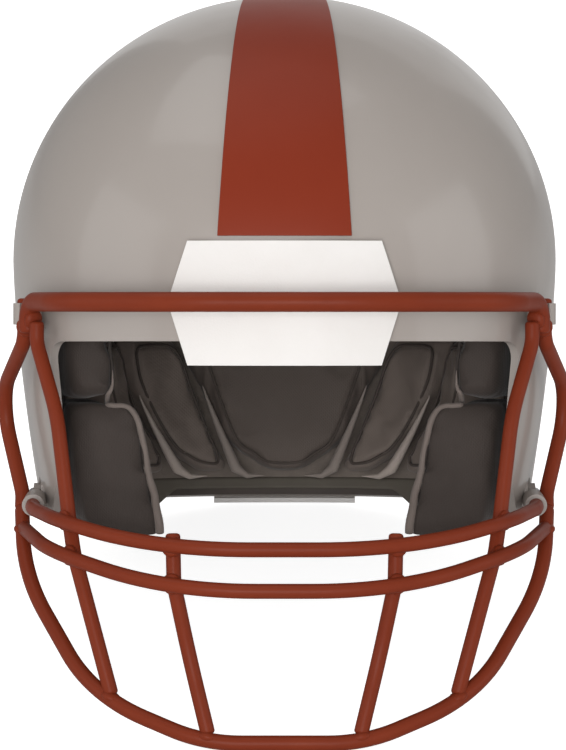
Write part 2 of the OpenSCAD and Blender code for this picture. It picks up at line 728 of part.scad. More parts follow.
module clip_screw(seat)
    at_seat(seat + [seat_gap + lug_t + seat_gap, 0, 0]) {
        cylinder(r = head_r, h = head_h);
        translate([0, 0, -boss_in - lug_t - 2 * seat_gap])
            cylinder(r = screw_r, h = boss_in + lug_t + 2 * seat_gap + 0.5);
    }
module clip_nut(seat)
    at_seat(seat - [boss_in + flange_h + seat_gap, 0, 0])
        difference() {
            union() {
                cylinder(r = flange_r, h = flange_h);
                cylinder(r = nut_barrel_r, h = flange_h + nut_barrel_h);
            }
            cylinder(r = screw_r + thread_gap, h = drill_h, center = true);
        }
module pivot_screws() color(steel_colour) stood()
    both_sides()
        clip_screw(pivot_at);
module pivot_nuts() color(steel_colour) stood()
    both_sides()
        clip_nut(pivot_at);
module latch_screws() color(steel_colour) stood()
    both_sides()
        clip_screw(latch_at);
module latch_nuts() color(steel_colour) stood()
    both_sides()
        clip_nut(latch_at);

needle_r = 0.8;
needle_depth = 3.3;
valve_flange_h = 1;
module inflation_valves() color(pad_colour) stood()
    for (s = valve_spots)
        on_shell(s)
            difference() {
                union() {
                    translate([0, 0, seat_gap])
                        cylinder(r = 4.6, h = valve_flange_h);
                    translate([0, 0, -shell_wall])
                        cylinder(r = screw_r, h = shell_wall + seat_gap + 0.5);
                }
                translate([0, 0, seat_gap + valve_flange_h - needle_depth])
                    cylinder(r = needle_r, h = drill_h);
            }

module brow_bar() color(bar_colour) stood()
    bent_wire(across(brow_points), palindrome(brow_bends, []), brow_r);
module chin_bar() color(bar_colour) stood()
    bent_wire(across(chin_points), palindrome(chin_bends, []), rim_bar_r);
module upper_cross_bar() color(bar_colour) stood()
    bent_wire(across(upper_points), palindrome(upper_bends, []), bar_r);
module lower_cross_bar() color(bar_colour) stood()
    bent_wire(across(lower_points), palindrome(lower_bends, []), bar_r);
module side_bar_right() color(bar_colour) stood()
    bent_wire(side_points, side_bends, rim_bar_r);
module side_bar_left() color(bar_colour) stood()
    mirror([1, 0, 0])
        bent_wire(side_points, side_bends, rim_bar_r);
module inner_bar_right() color(bar_colour) stood()
    bent_wire(inner_points, inner_bends, bar_r);
module inner_bar_left() color(bar_colour) stood()
    mirror([1, 0, 0])
        bent_wire(inner_points, inner_bends, bar_r);
module centre_bar_right() color(bar_colour) stood()
    bent_wire(centre_points, centre_bends, bar_r);
module centre_bar_left() color(bar_colour) stood()
    mirror([1, 0, 0])
        bent_wire(centre_points, centre_bends, bar_r);

// The upper clip holds the top of a side bar and turns on the pivot screw
upper_sleeve_h = 9;
module upper_clip()
    difference() {
        union() {
            at_seat(pivot_at + [seat_gap, 0, 0])
                cylinder(r = lug_r, h = lug_t);
            translate([pivot_seat_x + seat_gap, sleeve_y, pivot_z - upper_sleeve_h / 2])
                cube([lug_t, pivot_y - sleeve_y, upper_sleeve_h]);
            translate([sleeve_x, sleeve_y, pivot_z - upper_sleeve_h / 2])
                cylinder(r = rim_bar_r + thread_gap + sleeve_wall, h = upper_sleeve_h);
        }
        translate([sleeve_x, sleeve_y, pivot_z - upper_sleeve_h])
            cylinder(r = rim_bar_r + thread_gap, h = 2 * upper_sleeve_h);
        translate([brow_corner.x, brow_corner.y, -30])
            cylinder(r = brow_r + thread_gap, h = 60);
        at_seat(pivot_at - [1, 0, 0])
            cylinder(r = screw_r + pin_gap, h = lug_t + 4);
    }
module upper_clip_right() color(shell_colour) stood()
    upper_clip();
module upper_clip_left() color(shell_colour) stood()
    mirror([1, 0, 0])
        upper_clip();

// The lower clip sits on the end of the upper cross bar and hooks over the latch screw
latch_from_pivot = [latch_y - pivot_y, latch_z - pivot_z];
latch_swing = norm(latch_from_pivot);
latch_angle = atan2(latch_from_pivot.x, -latch_from_pivot.y);
slot_w = 2 * (screw_r + slot_gap);
sleeve_dir = unit(upper_points[2] - upper_end);
lower_sleeve_h = 16;
module lower_clip()
    difference() {
        union() {
            at_seat(latch_at + [seat_gap, 0, 0])
                cylinder(r = lug_r, h = lug_t);
            translate([latch_seat_x + seat_gap, latch_y - 12, latch_z - 4.4])
                cube([lug_t, 12, 8.8]);
            aim(upper_end + sleeve_dir * 0.6, sleeve_dir)
                cylinder(r = bar_r + thread_gap + sleeve_wall, h = lower_sleeve_h);
        }
        aim(upper_end - sleeve_dir * seat_gap, sleeve_dir)
            cylinder(r = bar_r + thread_gap, h = 2 * lower_sleeve_h);
        for (run = [[side_points[3], chin_start], [chin_start, chin_points[2]]])
            aim(run[0] - unit(run[1] - run[0]) * 3, run[1] - run[0])
                cylinder(r = rim_bar_r + thread_gap, h = 24);
        at_seat(latch_at - [1, 0, 0])
            cylinder(r = slot_w / 2, h = lug_t + 4);
        translate([latch_seat_x - 1, pivot_y, pivot_z])
            rotate([0, 90, 0])
                rotate([0, 0, latch_angle])
                    rotate_extrude(angle = 8)
                        translate([latch_swing - slot_w / 2, 0])
                            square([slot_w, lug_t + 4]);
    }
module lower_clip_right() color(shell_colour) stood()
    lower_clip();
module lower_clip_left() color(shell_colour) stood()
    mirror([1, 0, 0])
        lower_clip();

shell();
crown_stripe();
front_bumper();
front_bumper_screws();
rear_bumper();
rear_bumper_screws();
back_lining();
back_pad_centre();
back_pad_mid_left();
back_pad_mid_right();
back_pad_outer_left();
back_pad_outer_right();
upper_back_pad();
crown_pad();
side_pad_left();
side_pad_right();
temple_pad_left();
temple_pad_right();
forehead_pad();
jaw_pad_left();
jaw_pad_right();
side_pad_snaps();
chin_strap_studs();
stud_nuts();
pivot_screws();
pivot_nuts();
latch_screws();
latch_nuts();
inflation_valves();
brow_bar();
chin_bar();
side_bar_left();
side_bar_right();
upper_cross_bar();
lower_cross_bar();
inner_bar_left();
inner_bar_right();
centre_bar_left();
centre_bar_right();
upper_clip_left();
upper_clip_right();
lower_clip_left();
lower_clip_right();
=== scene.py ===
"""Looks of a football helmet: glossy shell, crown stripe, bumpers, sewn pads and a coated wire face guard."""

from __future__ import annotations

import logging
import math
from dataclasses import dataclass
from enum import Enum
from typing import Callable, Iterable, Sequence

import bmesh
import bpy
from mathutils import Matrix, Vector
from mathutils.bvhtree import BVHTree
from mathutils.kdtree import KDTree


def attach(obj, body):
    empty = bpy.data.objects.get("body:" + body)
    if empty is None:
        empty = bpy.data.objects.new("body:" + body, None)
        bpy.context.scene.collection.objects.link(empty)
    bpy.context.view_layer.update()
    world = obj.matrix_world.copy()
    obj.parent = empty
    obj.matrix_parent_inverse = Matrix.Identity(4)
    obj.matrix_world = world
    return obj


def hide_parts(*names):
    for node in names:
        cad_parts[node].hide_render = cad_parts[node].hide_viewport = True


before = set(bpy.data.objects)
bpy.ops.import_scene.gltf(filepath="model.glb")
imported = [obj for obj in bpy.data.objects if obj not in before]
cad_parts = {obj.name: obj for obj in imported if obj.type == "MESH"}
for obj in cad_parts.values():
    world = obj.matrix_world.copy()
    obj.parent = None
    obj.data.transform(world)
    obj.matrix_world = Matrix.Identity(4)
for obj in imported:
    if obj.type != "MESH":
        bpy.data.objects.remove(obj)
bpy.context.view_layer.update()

LOG = logging.getLogger("helmet")
HELMET = "helmet"
FACE_GUARD = "face_guard"
MM = 0.001

# Kinds of value that pass between functions
Pair = tuple[float, float]
Triple = tuple[float, float, float]
Colour = tuple[float, float, float, float]
Mesh = bmesh.types.BMesh
Socket = bpy.types.NodeSocket
Face = Callable[[float, float], Vector]
Lay = Callable[[float, float, float], Vector]
Curve = Callable[[float], float]


def linear(red: float, green: float, blue: float) -> Colour:
    """Turns a colour as seen on a screen, 0 to 255, into scene light.

    Args:
        red: Red share of the colour.
        green: Green share of the colour.
        blue: Blue share of the colour.

    Returns:
        The linear colour with full opacity.
    """
    def channel(value: float) -> float:
        """Straightens one channel."""
        v = value / 255
        return v / 12.92 if v <= 0.04045 else ((v + 0.055) / 1.055) ** 2.4

    return channel(red), channel(green), channel(blue), 1.0


# Places


@dataclass(frozen=True)
class Stance:
    """How the worn helmet is tipped back to stand on its chin bar and rear bumper."""

    tip_deg: float = 16.4612
    forward: float = 27.3592
    lift: float = 127.393

    def turn(self, v: Sequence[float]) -> Vector:
        """Turns a worn direction into the standing helmet's axes."""
        c, s = math.cos(math.radians(self.tip_deg)), math.sin(math.radians(self.tip_deg))
        return Vector((v[0], v[1] * c + v[2] * s, -v[1] * s + v[2] * c))

    def place(self, p: Sequence[float]) -> Vector:
        """Turns a worn point in millimetres into a standing point in metres."""
        q = self.turn(p)
        return Vector((q.x, q.y + self.forward, q.z + self.lift)) * MM

    def matrix(self) -> Matrix:
        """Gives the matrix that stands up a mesh drawn in worn millimetres.

        Returns:
            The matrix to standing metres.
        """
        x, y, z = (self.turn(axis) * MM for axis in ((1, 0, 0), (0, 1, 0), (0, 0, 1)))
        rows = [[*row] for row in zip(x, y, z, self.place((0, 0, 0)))]
        return Matrix(rows + [[0, 0, 0, 1]])


STANCE = Stance()


@dataclass(frozen=True)
class HeadForm:
    """The shell's outer form in worn millimetres: a rounded plan, a domed crown and a tapered skirt."""

    half_width: float = 119.5
    front: float = 143.0
    rear: float = 143.0
    crown: float = 117.0
    widest: float = 18.0
    power: float = 2.4
    taper_height: float = 115.0
    side_taper: float = 0.112
    front_taper: float = 0.05
    rear_taper: float = 0.17

    def level(self, z: float, e: float) -> float:
        """Gives the size of a level as a share of the widest one.

        Args:
            z: Height of the level.
            e: Depth inside the outer face.

        Returns:
            The share, 1 at the widest level and below.
        """
        if z <= self.widest:
            return 1.0
        return math.sqrt(max(0.0, 1 - ((z - self.widest) / (self.crown - e)) ** 2))

    def taper(self, z: float, share: float) -> float:
        """Gives how far the form has drawn in below its widest level."""
        return 1 - share * (max(0.0, self.widest - z) / self.taper_height) ** 1.5

    def half_at(self, z: float, e: float) -> float:
        """Gives half of the width at height z."""
        return (self.half_width - e) * self.level(z, e) * self.taper(z, self.side_taper)

    def reach(self, z: float, e: float, back: bool) -> float:
        """Gives the reach to the front or to the back at height z."""
        length = (self.rear if back else self.front) - e
        return length * self.level(z, e) * self.taper(z, self.rear_taper if back else self.front_taper)

    def by_angle(self, angle: float, z: float, e: float) -> Vector:
        """Gives the point at a true angle round the ear line.

        Args:
            angle: Angle in radians, 0 to the right and a quarter turn to the back.
            z: Height of the point.
            e: Depth inside the outer face.

        Returns:
            The point in worn millimetres.
        """
        c, s = math.cos(angle), math.sin(angle)
        w, d = self.half_at(z, e), self.reach(z, e, s > 0)
        if w < 1e-6 or d < 1e-6:
            return Vector((0, 0, z))
        r = (abs(c / w) ** self.power + abs(s / d) ** self.power) ** (-1 / self.power)
        return Vector((r * c, r * s, z))

    def by_bearing(self, degrees: float, z: float, e: float) -> Vector:
        """Gives the point at a bearing of the rounded plan, as the pads are laid out.

        Args:
            degrees: Bearing, 0 to the right and 90 to the back.
            z: Height of the point.
            e: Depth inside the outer face.

        Returns:
            The point in worn millimetres.
        """
        a = math.radians(degrees)
        c, s = math.cos(a), math.sin(a)
        p = 2 / self.power
        x = self.half_at(z, e) * math.copysign(abs(c) ** p, c)
        y = self.reach(z, e, s > 0) * math.copysign(abs(s) ** p, s)
        return Vector((x, y, z))

    def share_left(self, t: float) -> float:
        """Gives what is left of one axis when the other has used t."""
        return max(0.0, 1 - abs(t) ** self.power) ** (1 / self.power)

    def on_side(self, y: float, z: float, e: float) -> Vector:
        """Gives the point of the right side at a length and a height."""
        return Vector((self.half_at(z, e) * self.share_left(y / self.reach(z, e, y > 0)), y, z))

    def on_front(self, x: float, z: float, e: float) -> Vector:
        """Gives the point of the front at a width and a height."""
        return Vector((x, -self.reach(z, e, False) * self.share_left(x / self.half_at(z, e)), z))

    def on_back(self, x: float, z: float, e: float) -> Vector:
        """Gives the point of the back at a width and a height."""
        return Vector((x, self.reach(z, e, True) * self.share_left(x / self.half_at(z, e)), z))

    def on_top(self, x: float, y: float, e: float) -> Vector:
        """Gives the point of the crown above a width and a length.

        Args:
            x: Width of the point.
            y: Length of the point.
            e: Depth inside the outer face.

        Returns:
            The point in worn millimetres.
        """
        across = (abs(x) / (self.half_width - e)) ** self.power
        along = (abs(y) / ((self.rear if y > 0 else self.front) - e)) ** self.power
        rise = math.sqrt(max(0.0, 1 - (across + along) ** (2 / self.power)))
        return Vector((x, y, self.widest + (self.crown - e) * rise))

    def outward(self, degrees: float, z: float) -> Vector:
        """Gives the outward direction at a bearing and a height.

        Args:
            degrees: Bearing, 0 to the right and 90 to the back.
            z: Height of the point.

        Returns:
            The direction, of length 1.
        """
        d = 0.5
        along = self.by_bearing(degrees + d, z, 0) - self.by_bearing(degrees - d, z, 0)
        up = self.by_bearing(degrees, z + d, 0) - self.by_bearing(degrees, z - d, 0)
        return along.cross(up).normalized()


FORM = HeadForm()


# Node groups that several finishes share


class Nodes:
    """A thin hand on one node tree, for finishes and groups alike."""

    def __init__(self, tree: bpy.types.NodeTree) -> None:
        """Holds the tree."""
        self.tree = tree

    def add(self, kind: str, **values: object) -> bpy.types.Node:
        """Adds a node and sets its properties and sockets by name.

        Args:
            kind: Blender's type name of the node.
            values: Properties in lower case, or socket names with spaces as underscores.

        Returns:
            The new node.
        """
        node = self.tree.nodes.new(kind)
        for key, value in values.items():
            if hasattr(node, key):
                setattr(node, key, value)
            else:
                node.inputs[key.replace("_", " ")].default_value = value
        return node

    def link(self, source: Socket, target: Socket) -> None:
        """Joins two sockets."""
        self.tree.links.new(source, target)

    def ramp(self, source: Socket, low: float, high: float) -> Socket:
        """Stretches a value between two limits to the full range and clamps it.

        Args:
            source: Socket of the value.
            low: Value that gives 0.
            high: Value that gives 1.

        Returns:
            The stretched value's socket.
        """
        node = self.add("ShaderNodeMapRange")
        node.inputs["From Min"].default_value = low
        node.inputs["From Max"].default_value = high
        self.link(source, node.inputs["Value"])
        return node.outputs["Result"]

    def maths(self, operation: str, a: Socket | float, b: Socket | float) -> Socket:
        """Works out one sum of two values.

        Args:
            operation: Name of the sum.
            a: First value or socket.
            b: Second value or socket.

        Returns:
            The result's socket.
        """
        node = self.add("ShaderNodeMath", operation=operation)
        for socket, value in zip(node.inputs, (a, b)):
            if isinstance(value, (int, float)):
                socket.default_value = value
            else:
                self.link(value, socket)
        return node.outputs[0]

    def mix(self, factor: Socket | float, a: Socket | Colour, b: Socket | Colour) -> Socket:
        """Blends two colours.

        Args:
            factor: Share of the second colour, as a value or a socket.
            a: First colour or its socket.
            b: Second colour or its socket.

        Returns:
            The blended colour's socket.
        """
        node = self.add("ShaderNodeMix", data_type="RGBA")
        for socket, value in ((node.inputs[0], factor), (node.inputs[6], a), (node.inputs[7], b)):
            if isinstance(value, Socket):
                self.link(value, socket)
            else:
                socket.default_value = value
        return node.outputs[2]


def new_group(name: str, inputs: dict[str, float], outputs: Iterable[str]) -> tuple[
        bpy.types.NodeTree, Nodes, bpy.types.Node, bpy.types.Node]:
    """Starts a shared node group whose sockets are all plain values beside its Vector input.

    Args:
        name: Name of the group.
        inputs: Names and default values of the inputs.
        outputs: Names of the outputs.

    Returns:
        The tree, the hand on it, its input node and its output node.
    """
    tree = bpy.data.node_groups.new(name, "ShaderNodeTree")
    tree.interface.new_socket(name="Vector", in_out="INPUT", socket_type="NodeSocketVector")
    for label, value in inputs.items():
        socket = tree.interface.new_socket(name=label, in_out="INPUT", socket_type="NodeSocketFloat")
        socket.default_value = value
    for label in outputs:
        tree.interface.new_socket(name=label, in_out="OUTPUT", socket_type="NodeSocketFloat")
    hand = Nodes(tree)
    return tree, hand, hand.add("NodeGroupInput"), hand.add("NodeGroupOutput")


class SharedLooks:
    """Builds each shared group once and places it in finishes."""

    def __init__(self) -> None:
        """Builds the groups."""
        self.groups = {"grain": self._grain(), "scuffs": self._scuffs(), "knit": self._knit(),
                       "ripple": self._ripple(), "mottle": self._mottle()}

    def place(self, hand: Nodes, name: str, vector: Socket, **values: float) -> bpy.types.Node:
        """Puts a shared group into a finish.

        Args:
            hand: The finish's hand on its nodes.
            name: Name of the shared group.
            vector: Socket with the coordinates to read.
            values: Inputs of the group, with spaces as underscores.

        Returns:
            The placed group node.
        """
        node = hand.tree.nodes.new("ShaderNodeGroup")
        node.node_tree = self.groups[name]
        hand.link(vector, node.inputs["Vector"])
        for key, value in values.items():
            node.inputs[key.replace("_", " ")].default_value = value
        return node

    def _grain(self) -> bpy.types.NodeTree:
        """Builds a fine moulded grain, as height.

        Returns:
            The group's tree.
        """
        tree, hand, source, out = new_group("Moulded grain", {"Size": 900.0, "Depth": 1.0}, ["Height"])
        cells = hand.add("ShaderNodeTexVoronoi", feature="SMOOTH_F1")
        hand.link(source.outputs["Vector"], cells.inputs["Vector"])
        hand.link(source.outputs["Size"], cells.inputs["Scale"])
        soft = hand.add("ShaderNodeTexNoise", Detail=3.0)
        hand.link(source.outputs["Vector"], soft.inputs["Vector"])
        hand.link(source.outputs["Size"], soft.inputs["Scale"])
        both = hand.maths("ADD", cells.outputs["Distance"], soft.outputs["Fac"])
        hand.link(hand.maths("MULTIPLY", both, source.outputs["Depth"]), out.inputs["Height"])
        return tree

    def _ripple(self) -> bpy.types.NodeTree:
        """Builds the slow waves that a gloss finish shows, as height.

        Returns:
            The group's tree.
        """
        tree, hand, source, out = new_group("Slow ripple", {"Size": 60.0, "Depth": 1.0}, ["Height"])
        wave = hand.add("ShaderNodeTexNoise", Detail=1.0, Roughness=0.4)
        hand.link(source.outputs["Vector"], wave.inputs["Vector"])
        hand.link(source.outputs["Size"], wave.inputs["Scale"])
        hand.link(hand.maths("MULTIPLY", wave.outputs["Fac"], source.outputs["Depth"]), out.inputs["Height"])
        return tree

    def _scuffs(self) -> bpy.types.NodeTree:
        """Builds sparse thin scratches and rubbed patches, as masks.

        Returns:
            The group's tree.
        """
        tree, hand, source, out = new_group("Scuffs", {"Size": 18.0, "Amount": 0.5}, ["Scratches", "Rubbed"])
        total = None
        for turn, stretch in ((0.4, (1.0, 14.0, 1.0)), (2.1, (16.0, 1.0, 1.0)), (1.2, (1.0, 1.0, 12.0))):
            place = hand.add("ShaderNodeMapping", Rotation=(turn, turn * 0.7, turn * 1.9), Scale=stretch)
            hand.link(source.outputs["Vector"], place.inputs["Vector"])
            lines = hand.add("ShaderNodeTexNoise", Detail=2.0)
            hand.link(place.outputs["Vector"], lines.inputs["Vector"])
            hand.link(source.outputs["Size"], lines.inputs["Scale"])
            off = hand.maths("ABSOLUTE", hand.maths("SUBTRACT", lines.outputs["Fac"], 0.5), 0.0)
            thin = hand.ramp(off, 0.006, 0.0)
            total = thin if total is None else hand.maths("MAXIMUM", total, thin)
        where = hand.add("ShaderNodeTexNoise", Detail=4.0, Scale=23.0)
        hand.link(source.outputs["Vector"], where.inputs["Vector"])
        patch = hand.ramp(where.outputs["Fac"], 0.53, 0.68)
        hand.link(hand.maths("MULTIPLY", hand.maths("MULTIPLY", total, patch), source.outputs["Amount"]),
                  out.inputs["Scratches"])
        hand.link(hand.maths("MULTIPLY", patch, source.outputs["Amount"]), out.inputs["Rubbed"])
        return tree

    def _mottle(self) -> bpy.types.NodeTree:
        """Builds the slight unevenness of a colour, as a factor.

        Returns:
            The group's tree.
        """
        tree, hand, source, out = new_group("Mottle", {"Size": 30.0, "Amount": 0.5}, ["Fac"])
        cloud = hand.add("ShaderNodeTexNoise", Detail=5.0, Roughness=0.6)
        hand.link(source.outputs["Vector"], cloud.inputs["Vector"])
        hand.link(source.outputs["Size"], cloud.inputs["Scale"])
        spread = hand.ramp(cloud.outputs["Fac"], 0.3, 0.7)
        hand.link(hand.maths("MULTIPLY", spread, source.outputs["Amount"]), out.inputs["Fac"])
        return tree

    def _knit(self) -> bpy.types.NodeTree:
        """Builds a warp knit: rows of small loops, as height and as a shade.

        Returns:
            The group's tree.
        """
        tree, hand, source, out = new_group("Knit", {"Size": 700.0, "Depth": 1.0}, ["Height", "Shade"])
        total = None
        for turn in ((0.0, 0.0, 0.785), (0.0, 0.785, 0.0), (0.785, 0.0, 0.0)):
            place = hand.add("ShaderNodeMapping", Rotation=turn)
            hand.link(source.outputs["Vector"], place.inputs["Vector"])
            rows = hand.add("ShaderNodeTexWave", wave_type="BANDS", bands_direction="X", Distortion=1.5,
                            Detail=1.0)
            hand.link(place.outputs["Vector"], rows.inputs["Vector"])
            hand.link(source.outputs["Size"], rows.inputs["Scale"])
            total = rows.outputs["Fac"] if total is None else hand.maths("ADD", total, rows.outputs["Fac"])
        loops = hand.maths("MULTIPLY", total, 0.333)
        hand.link(hand.maths("MULTIPLY", loops, source.outputs["Depth"]), out.inputs["Height"])
        hand.link(hand.ramp(loops, 0.2, 0.8), out.inputs["Shade"])
        return tree


LOOKS = SharedLooks()


# Finishes


@dataclass(frozen=True)
class Finish:
    """One surface: its colours, its gloss and the detail that it shows up close."""

    name: str
    colour: Colour
    second: Colour
    roughness: float
    worn_roughness: float = 0.5
    metallic: float = 0.0
    coat: float = 0.0
    coat_roughness: float = 0.1
    sheen: float = 0.0
    specular: float = 0.5
    mottle: float = 0.5
    mottle_size: float = 30.0
    scuffs: float = 0.0
    grain: float = 0.0
    grain_size: float = 900.0
    ripple: float = 0.0
    ripple_size: float = 60.0
    knit: float = 0.0
    knit_size: float = 700.0

    def material(self) -> bpy.types.Material:
        """Builds the material, or gives the one built before.

        Returns:
            The material of this finish.
        """
        known = bpy.data.materials.get(self.name)
        if known is not None:
            return known
        made = bpy.data.materials.new(self.name)
        made.use_nodes = True
        hand = Nodes(made.node_tree)
        shader = made.node_tree.nodes["Principled BSDF"]
        where = hand.add("ShaderNodeTexCoord").outputs["Object"]
        shader.inputs["Metallic"].default_value = self.metallic
        shader.inputs["Coat Weight"].default_value = self.coat
        shader.inputs["Coat Roughness"].default_value = self.coat_roughness
        shader.inputs["Sheen Weight"].default_value = self.sheen
        shader.inputs["Sheen Roughness"].default_value = 0.4
        shader.inputs["Specular IOR Level"].default_value = self.specular
        cloud = LOOKS.place(hand, "mottle", where, Size=self.mottle_size, Amount=self.mottle)
        colour = hand.mix(cloud.outputs["Fac"], self.colour, self.second)
        rough = hand.maths("ADD", hand.maths("MULTIPLY", cloud.outputs["Fac"], 0.08), self.roughness)
        heights = []
        if self.knit:
            knit = LOOKS.place(hand, "knit", where, Size=self.knit_size, Depth=self.knit)
            colour = hand.mix(hand.maths("MULTIPLY", knit.outputs["Shade"], 0.45), colour, self.second)
            heights.append(knit.outputs["Height"])
        if self.grain:
            grain = LOOKS.place(hand, "grain", where, Size=self.grain_size, Depth=self.grain)
            heights.append(grain.outputs["Height"])
        if self.ripple:
            ripple = LOOKS.place(hand, "ripple", where, Size=self.ripple_size, Depth=self.ripple)
            heights.append(ripple.outputs["Height"])
        if self.scuffs:
            worn = LOOKS.place(hand, "scuffs", where, Amount=self.scuffs)
            colour = hand.mix(hand.maths("MULTIPLY", worn.outputs["Scratches"], 0.6), colour, self.second)
            duller = hand.maths("MULTIPLY", worn.outputs["Rubbed"], self.worn_roughness - self.roughness)
            rough = hand.maths("ADD", rough, duller)
            heights.append(hand.maths("MULTIPLY", worn.outputs["Scratches"], -0.15))
        hand.link(colour, shader.inputs["Base Color"])
        hand.link(rough, shader.inputs["Roughness"])
        total = heights[0] if heights else None
        for height in heights[1:]:
            total = hand.maths("ADD", total, height)
        if total is not None:
            bump = hand.add("ShaderNodeBump", Strength=0.5, Distance=0.0002)
            hand.link(total, bump.inputs["Height"])
            hand.link(bump.outputs["Normal"], shader.inputs["Normal"])
        return made


def pad_cloth(name: str, colour: Colour, second: Colour) -> Finish:
    """Gives the knitted cloth of a pad's cover in one brightness; the lighter ones are painted light against
    the pads' shade.
    """
    return Finish(name, colour, second, 0.72, sheen=0.15, specular=0.25, mottle=0.7, mottle_size=26.0,
                  knit=1.0, knit_size=330.0)


def cord_cloth(name: str, colour: Colour, second: Colour, roughness: float, mottle_size: float) -> Finish:
    """Gives the close cloth of a welt, a bolster or an edge in one brightness; the lighter ones are painted
    light and the pale ones painted highlights.
    """
    return Finish(name, colour, second, roughness, sheen=0.15, specular=0.25, mottle=0.6,
                  mottle_size=mottle_size, knit=0.8, knit_size=500.0)


class Finishes(Enum):
    """The finishes that the helmet's pieces choose from."""

    SHELL = Finish("warm grey gloss shell", linear(159, 151, 145), linear(151, 143, 137), 0.3, 0.5,
                   coat=0.3, coat_roughness=0.1, specular=0.35, mottle=0.5, mottle_size=9.0, scuffs=0.35,
                   ripple=0.6, ripple_size=55.0)
    # Painted shade: the shell's inner face is coloured much darker than its outer face.
    SHELL_INSIDE_PAINTED_SHADE = Finish("inner face of the shell, painted shade", linear(84, 76, 71), linear(70, 64, 60), 0.6,
                          specular=0.3, mottle=0.6, mottle_size=40.0, grain=0.5)
    STRIPE = Finish("brick red stripe film", linear(128, 48, 28), linear(120, 43, 25), 0.42, 0.55,
                    coat=0.03, coat_roughness=0.2, specular=0.1, mottle=0.6, mottle_size=14.0, scuffs=0.35,
                    ripple=0.4, ripple_size=80.0)
    BUMPER = Finish("off-white bumper moulding", linear(228, 225, 222), linear(220, 216, 212), 0.45, 0.6,
                    specular=0.3, mottle=0.6, mottle_size=25.0, grain=0.35, grain_size=1500.0, scuffs=0.3)
    GUARD = Finish("rust red dipped coat", linear(121, 49, 28), linear(112, 43, 24), 0.42, 0.55,
                   coat=0.03, coat_roughness=0.2, specular=0.09, mottle=0.7, mottle_size=35.0, scuffs=0.4,
                   ripple=0.8, ripple_size=160.0)
    CLIP = Finish("grey clip moulding", linear(156, 148, 142), linear(144, 136, 130), 0.42,
                  specular=0.35, mottle=0.6, mottle_size=60.0, grain=0.4, grain_size=1800.0)
    PAD = pad_cloth("dark pad cover", linear(66, 58, 54), linear(56, 49, 45))
    # Painted light: lighter copies of the pad cover for pads further in and on the slant, against their
    # shade.
    DEEP_PAD_PAINTED_LIGHT = pad_cloth("dark pad cover further in", linear(102, 92, 86), linear(90, 81, 75))
    SLANT_PAD_PAINTED_LIGHT = pad_cloth("dark pad cover on the slant", linear(130, 118, 110), linear(116, 105, 98))
    WELT = cord_cloth("dark welt cord", linear(58, 51, 47), linear(48, 42, 39), 0.7, 60.0)
    # Painted light: a copy of the welt cord painted lighter for the pads further in, against their shade.
    DEEP_WELT_PAINTED_LIGHT = cord_cloth("dark welt cord further in", linear(84, 75, 70), linear(72, 64, 59), 0.7, 60.0)
    # Painted highlight: pale cords that stand for light caught along the back pads' seams and the side pads'
    # edge; the one further in is painted paler still against its shade.
    PIPING_PAINTED_HIGHLIGHT = cord_cloth("taupe seam painted as a highlight", linear(152, 141, 134), linear(136, 126, 119), 0.65, 70.0)
    DEEP_PIPING_PAINTED_HIGHLIGHT = cord_cloth("pale taupe seam further in", linear(188, 175, 166), linear(170, 158, 150),
                             0.65, 70.0)
    EDGING_PAINTED_HIGHLIGHT = cord_cloth("edge binding painted pale as a highlight", linear(120, 109, 103), linear(106, 96, 90), 0.65, 70.0)
    LINING = Finish("taupe felt lining", linear(128, 118, 110), linear(112, 103, 96), 0.85,
                    sheen=0.2, specular=0.2, mottle=0.8, mottle_size=120.0, grain=1.0, grain_size=1400.0)
    BINDING = Finish("dark binding tape", linear(104, 98, 89), linear(92, 86, 78), 0.7,
                     specular=0.25, mottle=0.6, mottle_size=60.0, knit=0.7, knit_size=600.0)
    STEEL = Finish("plated screw steel", linear(176, 176, 178), linear(150, 150, 152), 0.3,
                   metallic=1.0, mottle=0.7, mottle_size=300.0, grain=0.2, grain_size=2500.0)
    SNAP = Finish("black snap moulding", linear(44, 41, 40), linear(36, 33, 32), 0.5,
                  mottle=0.6, mottle_size=90.0, grain=0.4)
    VALVE = Finish("valve rubber", linear(36, 34, 33), linear(28, 26, 25), 0.6,
                   mottle=0.6, mottle_size=150.0, grain=0.3)


# Mesh work shared by the sub-assemblies


def finished(name: str, bm: Mesh, finishes: Sequence[Finishes], body: str, slot: str,
             replaced: Sequence[str] = (), stand: bool = True) -> bpy.types.Object:
    """Turns a bmesh in worn millimetres into a piece that rides on a body.

    Args:
        name: Name of the piece.
        bm: The mesh, which is freed.
        finishes: Finishes in the order of the mesh's material indices.
        body: Body that carries the piece.
        slot: Material slot of the record; not used.
        replaced: CAD nodes that the piece stands for.
        stand: True where the mesh is in worn millimetres, False where it stands already.

    Returns:
        The piece.
    """
    if stand:
        bmesh.ops.transform(bm, matrix=STANCE.matrix(), verts=bm.verts)
    mesh = bpy.data.meshes.new(name)
    bm.to_mesh(mesh)
    bm.free()
    mesh.polygons.foreach_set("use_smooth", [True] * len(mesh.polygons))
    piece = bpy.data.objects.new(name, mesh)
    bpy.context.scene.collection.objects.link(piece)
    for finish in finishes:
        mesh.materials.append(finish.value.material())
    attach(piece, body)
    if replaced:
        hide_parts(*replaced)
    LOG.info("%s: %d faces", name, len(mesh.polygons))
    return piece


